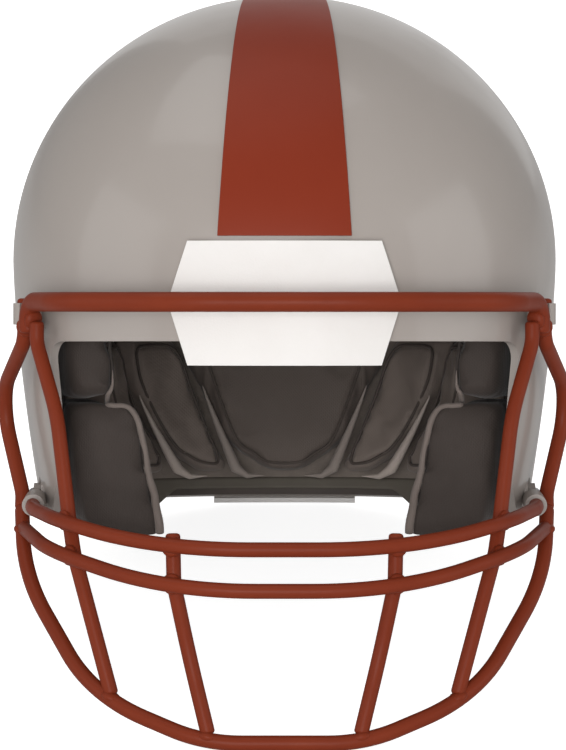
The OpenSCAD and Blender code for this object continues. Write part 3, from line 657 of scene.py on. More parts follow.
def bevelled(piece: bpy.types.Object, width_mm: float, segments: int = 3, angle: float = 40.0) -> None:
    """Rounds a piece's sharp edges with a live Bevel and keeps its broad faces smooth.

    Args:
        piece: The piece to round.
        width_mm: Width of the rounding.
        segments: Segments across the rounding.
        angle: Edges sharper than this, in degrees, are rounded.
    """
    bevel = piece.modifiers.new("edges", "BEVEL")
    bevel.width = width_mm * MM
    bevel.segments = segments
    bevel.limit_method = "ANGLE"
    bevel.angle_limit = math.radians(angle)
    bevel.use_clamp_overlap = True
    weigh = piece.modifiers.new("shading", "WEIGHTED_NORMAL")
    weigh.keep_sharp = False


def inside(outline: Sequence[Pair], u: float, v: float) -> bool:
    """Tells whether a point lies inside a closed outline.

    Args:
        outline: Points of the outline.
        u: First coordinate of the point.
        v: Second coordinate of the point.

    Returns:
        True where it does.
    """
    hit = False
    last_u, last_v = outline[-1]
    for this_u, this_v in outline:
        crosses = (this_v > v) != (last_v > v)
        if crosses and u < (last_u - this_u) * (v - this_v) / (last_v - this_v) + this_u:
            hit = not hit
        last_u, last_v = this_u, this_v
    return hit


def cut_outline(bm: Mesh, outline: Sequence[Pair], sight: Matrix, keep_inside: bool, delete: bool = True,
                margin: float = 9.0, depth: float | None = None) -> None:
    """Scores an outline into a surface along a line of sight, and takes one side of it away.

    Args:
        bm: The open surface.
        outline: Points of the closed outline, across the line of sight.
        sight: Matrix from worn millimetres to across, up and along the sight.
        keep_inside: True to keep what lies inside the outline.
        delete: False to score only.
        margin: How near an edge of the outline a face lies to be scored.
        depth: Least distance along the sight of a face that is touched, or None for all.
    """
    back = sight.inverted()
    for a, b in zip(outline, list(outline[1:]) + [outline[0]]):
        low = (min(a[0], b[0]) - margin, min(a[1], b[1]) - margin)
        high = (max(a[0], b[0]) + margin, max(a[1], b[1]) + margin)
        near = []
        for face in bm.faces:
            c = sight @ face.calc_center_median()
            if low[0] <= c.x <= high[0] and low[1] <= c.y <= high[1] and (depth is None or c.z > depth):
                near.append(face)
        if not near:
            continue
        parts = set(near)
        for face in near:
            parts.update(face.edges)
            parts.update(face.verts)
        normal = (back.to_3x3() @ Vector((b[1] - a[1], a[0] - b[0], 0))).normalized()
        at = back @ Vector((a[0], a[1], 0))
        bmesh.ops.bisect_plane(bm, geom=list(parts), dist=1e-4, plane_co=at, plane_no=normal)
    if not delete:
        return
    gone = []
    for face in bm.faces:
        c = sight @ face.calc_center_median()
        if (depth is None or c.z > depth) and inside(outline, c.x, c.y) != keep_inside:
            gone.append(face)
    bmesh.ops.delete(bm, geom=gone, context="FACES")


def ring(radius: float, count: int, centre: Pair = (0.0, 0.0)) -> list[Pair]:
    """Gives the points of a circle, as an outline."""
    turns = [math.tau * k / count for k in range(count)]
    return [(centre[0] + radius * math.cos(a), centre[1] + radius * math.sin(a)) for a in turns]


def sight_along(direction: Vector, at: Vector) -> Matrix:
    """Gives the matrix that looks at a point along the reverse of a direction.

    Args:
        direction: Direction from the point to the eye.
        at: The point that is looked at.

    Returns:
        The matrix to across, up and along the sight.
    """
    w = direction.normalized()
    u = (Vector((0, 0, 1)) if abs(w.z) < 0.9 else Vector((0, 1, 0))).cross(w).normalized()
    v = w.cross(u)
    turn = Matrix((u, v, w)).to_4x4()
    return turn @ Matrix.Translation(-at)


def slab(outer: Face, inner: Face, nu: int, nv: int) -> Mesh:
    """Builds a closed solid between two curved faces from a grid that is pushed through.

    Args:
        outer: Gives the shown face's point for two shares from 0 to 1.
        inner: Gives the hidden face's point for the same shares.
        nu: Cells along the first share.
        nv: Cells along the second share.

    Returns:
        The solid as a bmesh.
    """
    bm = bmesh.new()
    bmesh.ops.create_grid(bm, x_segments=nu, y_segments=nv, size=0.5)
    shares = {v.index: (v.co.x + 0.5, v.co.y + 0.5) for v in bm.verts}
    front = list(bm.verts)
    faces = list(bm.faces)
    pushed = bmesh.ops.extrude_face_region(bm, geom=faces, use_keep_orig=True)
    twins = [g for g in pushed["geom"] if isinstance(g, bmesh.types.BMVert)]
    places = {(round(v.co.x, 6), round(v.co.y, 6)): v for v in twins}
    for v in front:
        s, t = shares[v.index]
        twin = places[(round(v.co.x, 6), round(v.co.y, 6))]
        twin.co = inner(s, t)
        v.co = outer(s, t)
    bmesh.ops.recalc_face_normals(bm, faces=bm.faces)
    # On a thin curved sheet the recalculation can turn every face inwards.
    if bm.calc_volume(signed=True) < 0:
        bmesh.ops.reverse_faces(bm, faces=bm.faces)
    return bm


def blend(a: float, b: float, t: float) -> float:
    """Gives the value that lies a share of the way from a to b."""
    return a + (b - a) * t


def between(x: float, table: Sequence[Pair]) -> float:
    """Looks a value up in a short table and joins its rows by straight lines.

    Args:
        x: Value to look up in the first column.
        table: Rows in rising order.

    Returns:
        The value of the second column.
    """
    for (x0, y0), (x1, y1) in zip(table, table[1:]):
        if x <= x1:
            return blend(y0, y1, max(0.0, (x - x0) / (x1 - x0)))
    return table[-1][1]


def keep_evaluated(piece: bpy.types.Object) -> None:
    """Puts what a piece's modifiers make into its mesh and drops them.

    Args:
        piece: The piece.
    """
    graph = bpy.context.evaluated_depsgraph_get()
    graph.update()
    made = bpy.data.meshes.new_from_object(piece.evaluated_get(graph))
    old = piece.data
    finishes = [material for material in old.materials]
    piece.modifiers.clear()
    piece.data = made
    made.materials.clear()
    for material in finishes:
        made.materials.append(material)
    made.polygons.foreach_set("use_smooth", [True] * len(made.polygons))
    bpy.data.meshes.remove(old)


def tree_of(piece: bpy.types.Object) -> BVHTree:
    """Makes a search tree of a piece's surface."""
    mesh = piece.data
    return BVHTree.FromPolygons([v.co for v in mesh.vertices], [list(p.vertices) for p in mesh.polygons])


# Shell


@dataclass
class Shell:
    """The moulded head shell with its rim, ear holes, vents and clip seats."""

    wall: float = 3.5
    brow_rim: float = -15.0
    jaw_edge: float = -90.0
    jaw_low: float = -93.0
    nape: float = -94.0
    ear_at: Pair = (6.0, -28.0)
    ear_radius: float = 13.0
    vent_radius: float = 4.5
    vents: tuple[Pair, ...] = ((52.0, 98.0), (128.0, 98.0), (62.0, 56.0), (118.0, 56.0))
    seats: tuple[Triple, ...] = ((106.4, -78.0, -5.0), (104.4, -50.0, -84.5))
    seat_radius: float = 8.8
    seat_step: float = 0.7
    rim_round: float = 1.1
    far: float = 190.0
    skirt_drop: float = 130.0
    skirt_end: float = -103.0

    def outline(self) -> list[Pair]:
        """Gives the shell's outline seen from its side, with rounded corners.

        Returns:
            Points of length and height in worn millimetres.
        """
        corners = [(-self.far, self.brow_rim, 0), (self.jaw_edge - 1, self.brow_rim - 1.5, 10),
                   (self.jaw_edge, -45, 60), (-80, -78, 18), (-64, self.jaw_low, 12),
                   (-30, self.jaw_low, 30), (42, self.nape - 3.5, 30), (88, self.nape, 40),
                   (self.far, self.nape, 0), (self.far, self.far, 0), (-self.far, self.far, 0)]
        points = []
        for i, (y, z, r) in enumerate(corners):
            here = Vector((y, z))
            if r == 0:
                points.append((y, z))
                continue
            u = (Vector(corners[i - 1][:2]) - here).normalized()
            v = (Vector(corners[(i + 1) % len(corners)][:2]) - here).normalized()
            half = math.acos(max(-1.0, min(1.0, u.dot(v)))) / 2
            o = here + (u + v).normalized() * r / math.sin(half)
            start, end = here + u * r / math.tan(half) - o, here + v * r / math.tan(half) - o
            steps = max(2, int(math.degrees(math.pi - 2 * half) / 9))
            for k in range(steps + 1):
                p = o + start.lerp(end, k / steps).normalized() * r
                points.append((p.x, p.y))
        return points

    def surface(self) -> Mesh:
        """Builds the outer face as one open surface with its openings cut.

        Returns:
            The surface in worn millimetres.
        """
        bm = bmesh.new()
        bmesh.ops.create_uvsphere(bm, u_segments=176, v_segments=88, radius=1.0)
        for v in bm.verts:
            z = FORM.widest + v.co.z * (FORM.crown if v.co.z > 0 else self.skirt_drop)
            angle = math.atan2(v.co.y, v.co.x)
            v.co = FORM.by_angle(angle, z, 0) if abs(v.co.z) < 0.99999 else Vector((0, 0, z))
        low = [f for f in bm.faces if f.calc_center_median().z < self.skirt_end]
        bmesh.ops.delete(bm, geom=low, context="FACES")
        side = Matrix(((0, 1, 0, 0), (0, 0, 1, 0), (1, 0, 0, 0), (0, 0, 0, 1)))
        cut_outline(bm, self.outline(), side, keep_inside=True)
        for sign in (1, -1):
            sight = Matrix(((0, 1, 0, 0), (0, 0, 1, 0), (sign, 0, 0, 0), (0, 0, 0, 1)))
            cut_outline(bm, ring(self.ear_radius, 48, self.ear_at), sight, keep_inside=False, depth=60.0)
            for x, y, z in self.seats:
                for radius in (self.seat_radius + self.seat_step, self.seat_radius):
                    cut_outline(bm, ring(radius, 32, (y, z)), sight, True, False, 4.0, 60.0)
                for v in bm.verts:
                    away = math.hypot(v.co.y - y, v.co.z - z)
                    if v.co.x * sign > 60 and away < self.seat_radius + 0.05:
                        v.co.x = sign * x
        for bearing, z in self.vents:
            at, out = FORM.by_bearing(bearing, z, 0), FORM.outward(bearing, z)
            hole = ring(self.vent_radius, 32)
            cut_outline(bm, hole, sight_along(out, at), keep_inside=False, margin=5.0, depth=-12.0)
        edge = {v for e in bm.edges if e.is_boundary for v in e.verts}
        bmesh.ops.remove_doubles(bm, verts=list(edge), dist=0.35)
        bmesh.ops.recalc_face_normals(bm, faces=bm.faces)
        return bm

    def build(self) -> bpy.types.Object:
        """Gives the surface its wall and rounds its rim.

        Returns:
            The shell piece.
        """
        # Solidify gives the inner face the second finish, a darker colour that is painted shade.
        finishes = [Finishes.SHELL, Finishes.SHELL_INSIDE_PAINTED_SHADE]
        piece = finished("shell_moulding", self.surface(), finishes, HELMET, "shell", ["shell"])
        thick = piece.modifiers.new("wall", "SOLIDIFY")
        thick.thickness = self.wall * MM
        thick.offset = -1.0
        thick.use_even_offset = False
        thick.material_offset = 1
        thick.material_offset_rim = 0
        bevelled(piece, self.rim_round, 3, 55.0)
        return piece


@dataclass
class CrownStripe:
    """The film stripe over the crown, wide in front and narrow behind."""

    front_width: float = 54.0
    top_width: float = 32.0
    thickness: float = 0.8
    gap: float = 0.3
    bumper_top: float = 24.5
    rear_width: float = 18.0
    end_gap: float = 2.0
    rear_top: float = -68.0
    crown_end: float = 50.0

    @property
    def start(self) -> float:
        """Gives the angle at the front bumper."""
        return -math.degrees(math.acos((self.bumper_top + self.end_gap - FORM.widest) / FORM.crown))

    @property
    def end(self) -> float:
        """Gives the angle at the rear bumper."""
        return math.degrees(math.acos((self.rear_top + self.end_gap - FORM.widest) / FORM.crown))

    def point(self, angle: float, side: float, e: float) -> Vector:
        """Gives a point of the stripe.

        Args:
            angle: Degrees from the crown, negative to the front.
            side: From -1 at the left edge to 1 at the right one.
            e: Depth inside the shell's outer face.

        Returns:
            The point in worn millimetres.
        """
        end, width = (self.start, self.front_width) if angle < 0 else (self.end, self.rear_width)
        x = side * blend(self.top_width, width, angle / end) / 2
        if abs(angle) < self.crown_end:
            length = FORM.rear if angle > 0 else FORM.front
            return FORM.on_top(x, length * math.sin(math.radians(angle)), e)
        z = FORM.widest + FORM.crown * math.cos(math.radians(angle))
        return FORM.on_front(x, z, e) if angle < 0 else FORM.on_back(x, z, e)

    def build(self) -> bpy.types.Object:
        """Builds the stripe as a thin solid.

        Returns:
            The stripe piece.
        """
        def face(depth: float) -> Face:
            """Gives the face at a depth."""
            return lambda s, t: self.point(blend(self.start, self.end, s), 2 * t - 1, depth)

        bm = slab(face(-self.gap - self.thickness), face(-self.gap), 150, 10)
        piece = finished("stripe_film", bm, [Finishes.STRIPE], HELMET, "stripe", ["crown_stripe"])
        bevelled(piece, 0.25, 2, 50.0)
        return piece


@dataclass
class Bumpers:
    """The front and the rear bumper with the counterbored seats of their screws."""

    thickness: float = 3.2
    gap: float = 0.3
    wall: float = 3.5
    top: float = 24.5
    low: float = -25.5
    mid_half: float = 47.0
    end_half: float = 39.0
    brow_rim: float = -15.0
    nape: float = -94.0
    rear_half: float = 34.0
    rear_height: float = 26.0
    lip: float = 2.6
    screw_x: float = 28.0
    rear_screw_x: float = 22.0
    rear_screw_z: float = -79.7
    bore: float = 3.8
    bore_step: float = 0.12
    sink: float = 1.5
    skin: float = 1.6

    def counterbore(self, bm: Mesh, x: float, z: float, front: bool) -> None:
        """Sinks a round seat for a screw head into a bumper's shown face.

        Args:
            bm: The bumper in worn millimetres.
            x: Width of the screw.
            z: Level of the screw.
            front: True for the front bumper.
        """
        way = -1 if front else 1
        face = (FORM.on_front if front else FORM.on_back)(x, z, -self.gap - self.thickness).y * way
        sight = Matrix(((1, 0, 0, 0), (0, 0, 1, 0), (0, way, 0, 0), (0, 0, 0, 1)))
        for radius in (self.bore + self.bore_step, self.bore):
            cut_outline(bm, ring(radius, 40, (x, z)), sight, True, False, 3.0, face - self.skin)
        for v in bm.verts:
            if math.hypot(v.co.x - x, v.co.z - z) < self.bore + 0.03 and v.co.y * way > face - self.skin:
                v.co.y -= way * self.sink

    def front(self) -> bpy.types.Object:
        """Builds the hexagonal front bumper with its lip under the brow rim.

        Returns:
            The bumper piece.
        """
        rim = self.brow_rim - self.gap

        def half(z: float) -> float:
            """Gives half of the width at a height."""
            t = abs(z) / (self.top if z > 0 else -self.low)
            return blend(self.mid_half, self.end_half, t)

        def height(t: float) -> float:
            """Gives a row's height, with two close rows at the rim."""
            return between(t, [(0, self.low), (0.2, rim - 1.9), (0.24, rim - 1.5), (0.26, rim), (0.55, 0.0),
                               (1, self.top)])

        def outer(s: float, t: float) -> Vector:
            """Gives the shown face."""
            z = height(t)
            return FORM.on_front(blend(-1, 1, s) * half(z), z, -self.gap - self.thickness)

        def inner(s: float, t: float) -> Vector:
            """Gives the face against the shell, and under its rim the lip's inner face.

            Args:
                s: Share across.
                t: Share up.

            Returns:
                The point in worn millimetres.
            """
            z = height(t)
            depth = self.wall if z < rim - 1.7 else -self.gap
            return FORM.on_front(blend(-1, 1, s) * half(z), z, depth)

        bm = slab(outer, inner, 40, 50)
        for x in (self.screw_x, -self.screw_x):
            self.counterbore(bm, x, 0.0, True)
        piece = finished("front_bumper_moulding", bm, [Finishes.BUMPER], HELMET, "bumper", ["front_bumper"])
        bevelled(piece, 1.1, 3, 50.0)
        return piece

    def rear(self) -> bpy.types.Object:
        """Builds the rear bumper with its lip under the nape.

        Returns:
            The bumper piece.
        """
        rim = self.nape - self.gap

        def height(t: float) -> float:
            """Gives a row's height, with two close rows at the rim."""
            return between(t, [(0, rim - self.lip), (0.14, rim - 0.3), (0.16, rim),
                               (1, self.nape + self.rear_height)])

        def outer(s: float, t: float) -> Vector:
            """Gives the shown face."""
            return FORM.on_back(blend(-1, 1, s) * self.rear_half, height(t), -self.gap - self.thickness)

        def inner(s: float, t: float) -> Vector:
            """Gives the face against the shell, and under its rim the lip's inner face.

            Args:
                s: Share across.
                t: Share up.

            Returns:
                The point in worn millimetres.
            """
            z = height(t)
            depth = self.wall if z < rim - 0.1 else -self.gap
            return FORM.on_back(blend(-1, 1, s) * self.rear_half, z, depth)

        bm = slab(outer, inner, 40, 30)
        for x in (self.rear_screw_x, -self.rear_screw_x):
            self.counterbore(bm, x, self.rear_screw_z, False)
        piece = finished("rear_bumper_moulding", bm, [Finishes.BUMPER], HELMET, "bumper", ["rear_bumper"])
        bevelled(piece, 0.9, 3, 50.0)
        return piece


# Turned and moulded hardware


def cross_reach(angle: float, length: float, half: float) -> float:
    """Gives how far a cross-shaped recess reaches at an angle.

    Args:
        angle: Angle in radians round the screw.
        length: Reach of an arm.
        half: Half of an arm's width.

    Returns:
        The distance from the middle to the recess's wall.
    """
    folded = (angle + math.pi / 4) % (math.pi / 2) - math.pi / 4
    return min(length / math.cos(folded), half / max(abs(math.sin(folded)), 1e-6))


def turned(profile: Sequence[Pair], at: Vector, along: Vector, steps: int = 48, recess: float = 0.0) -> Mesh:
    """Spins a profile round an axis and shapes a cross recess into its inner ring.

    Args:
        profile: Radius and height of each corner, from the axis outwards and back.
        at: Foot of the axis in worn millimetres.
        along: Direction of the axis.
        steps: Steps of the spin.
        recess: Reach of the cross recess, or 0 for none.

    Returns:
        The turned piece as a bmesh.
    """
    bm = bmesh.new()
    chain = [bm.verts.new((r, 0, z)) for r, z in profile]
    edges = [bm.edges.new(pair) for pair in zip(chain, chain[1:])]
    bmesh.ops.spin(bm, geom=chain + edges, axis=(0, 0, 1), cent=(0, 0, 0), angle=math.tau, steps=steps,
                   use_merge=True)
    bmesh.ops.remove_doubles(bm, verts=bm.verts, dist=1e-4)
    if recess:
        for v in bm.verts:
            if abs(math.hypot(v.co.x, v.co.y) - recess) < 0.02:
                angle = math.atan2(v.co.y, v.co.x)
                reach = cross_reach(angle, recess, recess * 0.3)
                v.co.x, v.co.y = reach * math.cos(angle), reach * math.sin(angle)
    bmesh.ops.recalc_face_normals(bm, faces=bm.faces)
    turn = along.to_track_quat("Z", "Y").to_matrix().to_4x4()
    bmesh.ops.transform(bm, matrix=Matrix.Translation(at) @ turn, verts=bm.verts)
    return bm


def joined(parts: Sequence[Mesh]) -> Mesh:
    """Gathers several meshes into the first one and frees the others.

    Args:
        parts: The meshes.

    Returns:
        The first mesh with all of them in it.
    """
    first = parts[0]
    for part in parts[1:]:
        spare = bpy.data.meshes.new("spare")
        part.to_mesh(spare)
        part.free()
        first.from_mesh(spare)
        bpy.data.meshes.remove(spare)
    return first


@dataclass
class Screws:
    """Domed screws with cross recesses: two pivots, two latches and four in the bumpers."""

    seat_gap: float = 0.3
    lug: float = 3.0
    boss: float = 5.8
    shank: float = 2.5
    head: float = 4.6
    head_height: float = 2.2
    small_head: float = 3.5
    small_height: float = 1.4
    small_shank: float = 2.0
    small_length: float = 5.0
    recess: float = 0.56
    bumper_places: tuple[tuple[str, Triple, int], ...] = (
        ("front_bumper_screws", (28.0, -142.81, 0.0), -1), ("rear_bumper_screws", (22.0, 124.48, -79.7), 1))

    def profile(self, head: float, height: float, shank: float, length: float) -> list[Pair]:
        """Gives a domed head with a recess over a plain shank.

        Args:
            head: Radius of the head.
            height: Height of the head.
            shank: Radius of the shank.
            length: Length of the shank.

        Returns:
            Radius and height of each corner.
        """
        recess = head * self.recess
        return [(0, height * 0.45), (recess * 0.5, height * 0.42), (recess, height * 0.5),
                (recess, height * 0.93), (recess * 1.12, height * 0.97), (head * 0.8, height * 0.8),
                (head * 0.95, height * 0.5), (head, height * 0.22), (head, 0), (shank, 0),
                (shank, -length + 0.4), (shank - 0.4, -length), (0, -length)]

    def build(self) -> list[bpy.types.Object]:
        """Builds the screws, a pair at a time.

        Returns:
            The pieces.
        """
        made = []
        stack = self.lug + 2 * self.seat_gap
        large = self.profile(self.head, self.head_height, self.shank, self.boss + stack)
        small = self.profile(self.small_head, self.small_height, self.small_shank, self.small_length)
        for name, (x, y, z) in (("pivot_screws", Shell.seats[0]), ("latch_screws", Shell.seats[1])):
            pair = [turned(large, Vector((sign * (x + stack), y, z)), Vector((sign, 0, 0)), 56,
                           self.head * self.recess) for sign in (1, -1)]
            made.append(finished(f"{name}_turned", joined(pair), [Finishes.STEEL], HELMET, "steel", [name]))
        for name, (x, y, z), way in self.bumper_places:
            pair = [turned(small, Vector((sign * x, y, z)), Vector((0, way, 0)), 56,
                           self.small_head * self.recess) for sign in (1, -1)]
            made.append(finished(f"{name}_turned", joined(pair), [Finishes.STEEL], HELMET, "steel", [name]))
        for piece in made:
            bevelled(piece, 0.12, 2, 50.0)
        return made


@dataclass
class StrapStuds:
    """Four snap studs for a chin strap, each a domed cap on a flange."""

    spots: tuple[Pair, ...] = ((16.0, -15.0), (11.0, -50.0))
    gap: float = 0.3
    cap: float = 5.0
    cap_height: float = 3.5
    flange: float = 7.4
    flange_height: float = 1.2
    shank: float = 2.5
    length: float = 5.9

    def build(self) -> bpy.types.Object:
        """Builds the studs as one piece.

        Returns:
            The piece.
        """
        gap, cap = self.gap, self.cap
        base, top = gap + self.flange_height, gap + self.flange_height + self.cap_height
        profile = [(0, top), (cap * 0.45, top - 0.05), (cap * 0.78, top - 0.35), (cap * 0.95, top - 0.95),
                   (cap, top - 1.7), (cap * 0.9, top - 2.5), (cap * 0.86, base + 0.25), (cap * 1.05, base),
                   (self.flange - 0.5, base), (self.flange - 0.1, base - 0.3), (self.flange, gap),
                   (self.shank, gap), (self.shank, -self.length), (0, -self.length)]
        parts = []
        for bearing, z in self.spots:
            at, out = FORM.by_bearing(bearing, z, 0), FORM.outward(bearing, z)
            for sign in (1, -1):
                foot, along = Vector((sign * at.x, at.y, at.z)), Vector((sign * out.x, out.y, out.z))
                parts.append(turned(profile, foot, along))
        finishes = [Finishes.STEEL]
        return finished("strap_studs_turned", joined(parts), finishes, HELMET, "steel", ["chin_strap_studs"])


@dataclass
class Valves:
    """Two rubber inflation valves with a needle hole in a raised collar."""

    spots: tuple[Pair, ...] = ((66.0, 84.0), (114.0, 84.0))
    gap: float = 0.3
    flange: float = 4.6
    height: float = 1.0
    needle: float = 0.8
    depth: float = 3.3
    shank: float = 2.5
    length: float = 3.5

    def build(self) -> bpy.types.Object:
        """Builds the valves as one piece.

        Returns:
            The piece.
        """
        top = self.gap + self.height
        floor, needle, flange = top - self.depth, self.needle, self.flange
        profile = [(0, floor), (needle, floor), (needle, top - 0.4), (needle + 0.35, top - 0.1),
                   (needle + 0.8, top), (needle + 1.5, top - 0.1), (flange * 0.62, top - 0.4),
                   (flange * 0.85, top - 0.45), (flange * 0.97, top - 0.65), (flange, self.gap),
                   (self.shank, self.gap), (self.shank, -self.length), (0, -self.length)]
        parts = [turned(profile, FORM.by_bearing(b, z, 0), FORM.outward(b, z)) for b, z in self.spots]
        finishes = [Finishes.VALVE]
        return finished("valves_moulded", joined(parts), finishes, HELMET, "valve", ["inflation_valves"])


@dataclass
class Hardware:
    """Clips, nuts and snaps: CAD shapes with eased edges."""

    ease: float = 0.45
    pieces: tuple[tuple[str, Finishes, str, str], ...] = (
        ("upper_clip_left", Finishes.CLIP, FACE_GUARD, "clip"),
        ("upper_clip_right", Finishes.CLIP, FACE_GUARD, "clip"),
        ("lower_clip_left", Finishes.CLIP, FACE_GUARD, "clip"),
        ("lower_clip_right", Finishes.CLIP, FACE_GUARD, "clip"),
        ("stud_nuts", Finishes.STEEL, HELMET, "steel"), ("pivot_nuts", Finishes.STEEL, HELMET, "steel"),
        ("latch_nuts", Finishes.STEEL, HELMET, "steel"), ("side_pad_snaps", Finishes.SNAP, HELMET, "snap"),
    )

    def build(self) -> list[bpy.types.Object]:
        """Copies each CAD node, merges it, and eases its edges.

        Returns:
            The pieces.
        """
        made = []
        for node, finish, body, slot in self.pieces:
            bm = bmesh.new()
            bm.from_mesh(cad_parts[node].data)
            bmesh.ops.remove_doubles(bm, verts=bm.verts, dist=1e-6)
            bmesh.ops.dissolve_limit(bm, angle_limit=math.radians(1.0), verts=bm.verts, edges=bm.edges)
            for face in bm.faces:
                face.material_index = 0
            piece = finished(f"{node}_eased", bm, [finish], body, slot, [node], stand=False)
            bevelled(piece, self.ease, 2, 40.0)
            made.append(piece)
        return made


# Face guard


@dataclass(frozen=True)
class Wire:
    """One bent bar: its corners and bends in worn millimetres, the right half where it runs across."""

    name: str
    corners: tuple[Triple, ...]
    bends: tuple[float, ...]
    radius: float
    across: bool = False

    def path(self, steps: int = 14) -> list[Vector]:
        """Gives points along the bar's centre line.

        Args:
            steps: Steps in each bend.

        Returns:
            The points from end to end.
        """
        corners, bends = [Vector(p) for p in self.corners], list(self.bends)
        if self.across:
            corners = [Vector((-p.x, p.y, p.z)) for p in reversed(corners)] + corners
            bends = list(reversed(bends)) + bends
        points = [corners[0]]
        for before, here, after, bend in zip(corners, corners[1:], corners[2:], bends):
            u, v = (here - before).normalized(), (after - here).normalized()
            turn = math.acos(max(-1.0, min(1.0, u.dot(v))))
            n = (v - u * u.dot(v)).normalized()
            centre = here - u * bend * math.tan(turn / 2) + n * bend
            for k in range(steps + 1):
                a = turn * k / steps
                points.append(centre + (u * math.sin(a) - n * math.cos(a)) * bend)
        points.append(corners[-1])
        return points


def tube(path: Sequence[Vector], radii: Sequence[float], sides: int, closed: bool = False) -> Mesh:
    """Sweeps a round section of changing radius along a path.

    Args:
        path: Points of the centre line in worn millimetres.
        radii: Radius at each point.
        sides: Shapes the section, which gets four and twice this many corners.
        closed: True where the path runs back into its start.

    Returns:
        The tube as a bmesh.
    """
    curve = bpy.data.curves.new("route", "CURVE")
    curve.dimensions = "3D"
    curve.bevel_depth = 1.0
    curve.bevel_resolution = sides
    curve.use_fill_caps = not closed
    spline = curve.splines.new("POLY")
    spline.points.add(len(path) - 1)
    for point, place, radius in zip(spline.points, path, radii):
        point.co = (*place, 1.0)
        point.radius = radius
    spline.use_cyclic_u = closed
    holder = bpy.data.objects.new("route", curve)
    bpy.context.scene.collection.objects.link(holder)
    graph = bpy.context.evaluated_depsgraph_get()
    mesh = bpy.data.meshes.new_from_object(holder.evaluated_get(graph))
    bm = bmesh.new()
    bm.from_mesh(mesh)
    bpy.data.objects.remove(holder)
    bpy.data.curves.remove(curve)
    bpy.data.meshes.remove(mesh)
    bmesh.ops.remove_doubles(bm, verts=bm.verts, dist=1e-4)
    bmesh.ops.recalc_face_normals(bm, faces=bm.faces)
    return bm


def rounded_ends(path: Sequence[Vector], radius: float) -> tuple[list[Vector], list[float]]:
    """Adds points near both ends of a path at which a tube rounds off.

    Args:
        path: Points of the centre line.
        radius: Radius of the tube.

    Returns:
        The points and the radius at each.
    """
    steps = ((0.0, 0.55), (0.06, 0.75), (0.16, 0.89), (0.3, 0.97), (0.45, 1.0))
    first, last = (path[1] - path[0]).normalized(), (path[-2] - path[-1]).normalized()
    points = [path[0] + first * radius * a for a, _ in steps] + list(path[1:-1])
    points += [path[-1] + last * radius * a for a, _ in reversed(steps)]
    shrunk = [radius * b for _, b in steps]
    return points, shrunk + [radius] * (len(path) - 2) + shrunk[::-1]


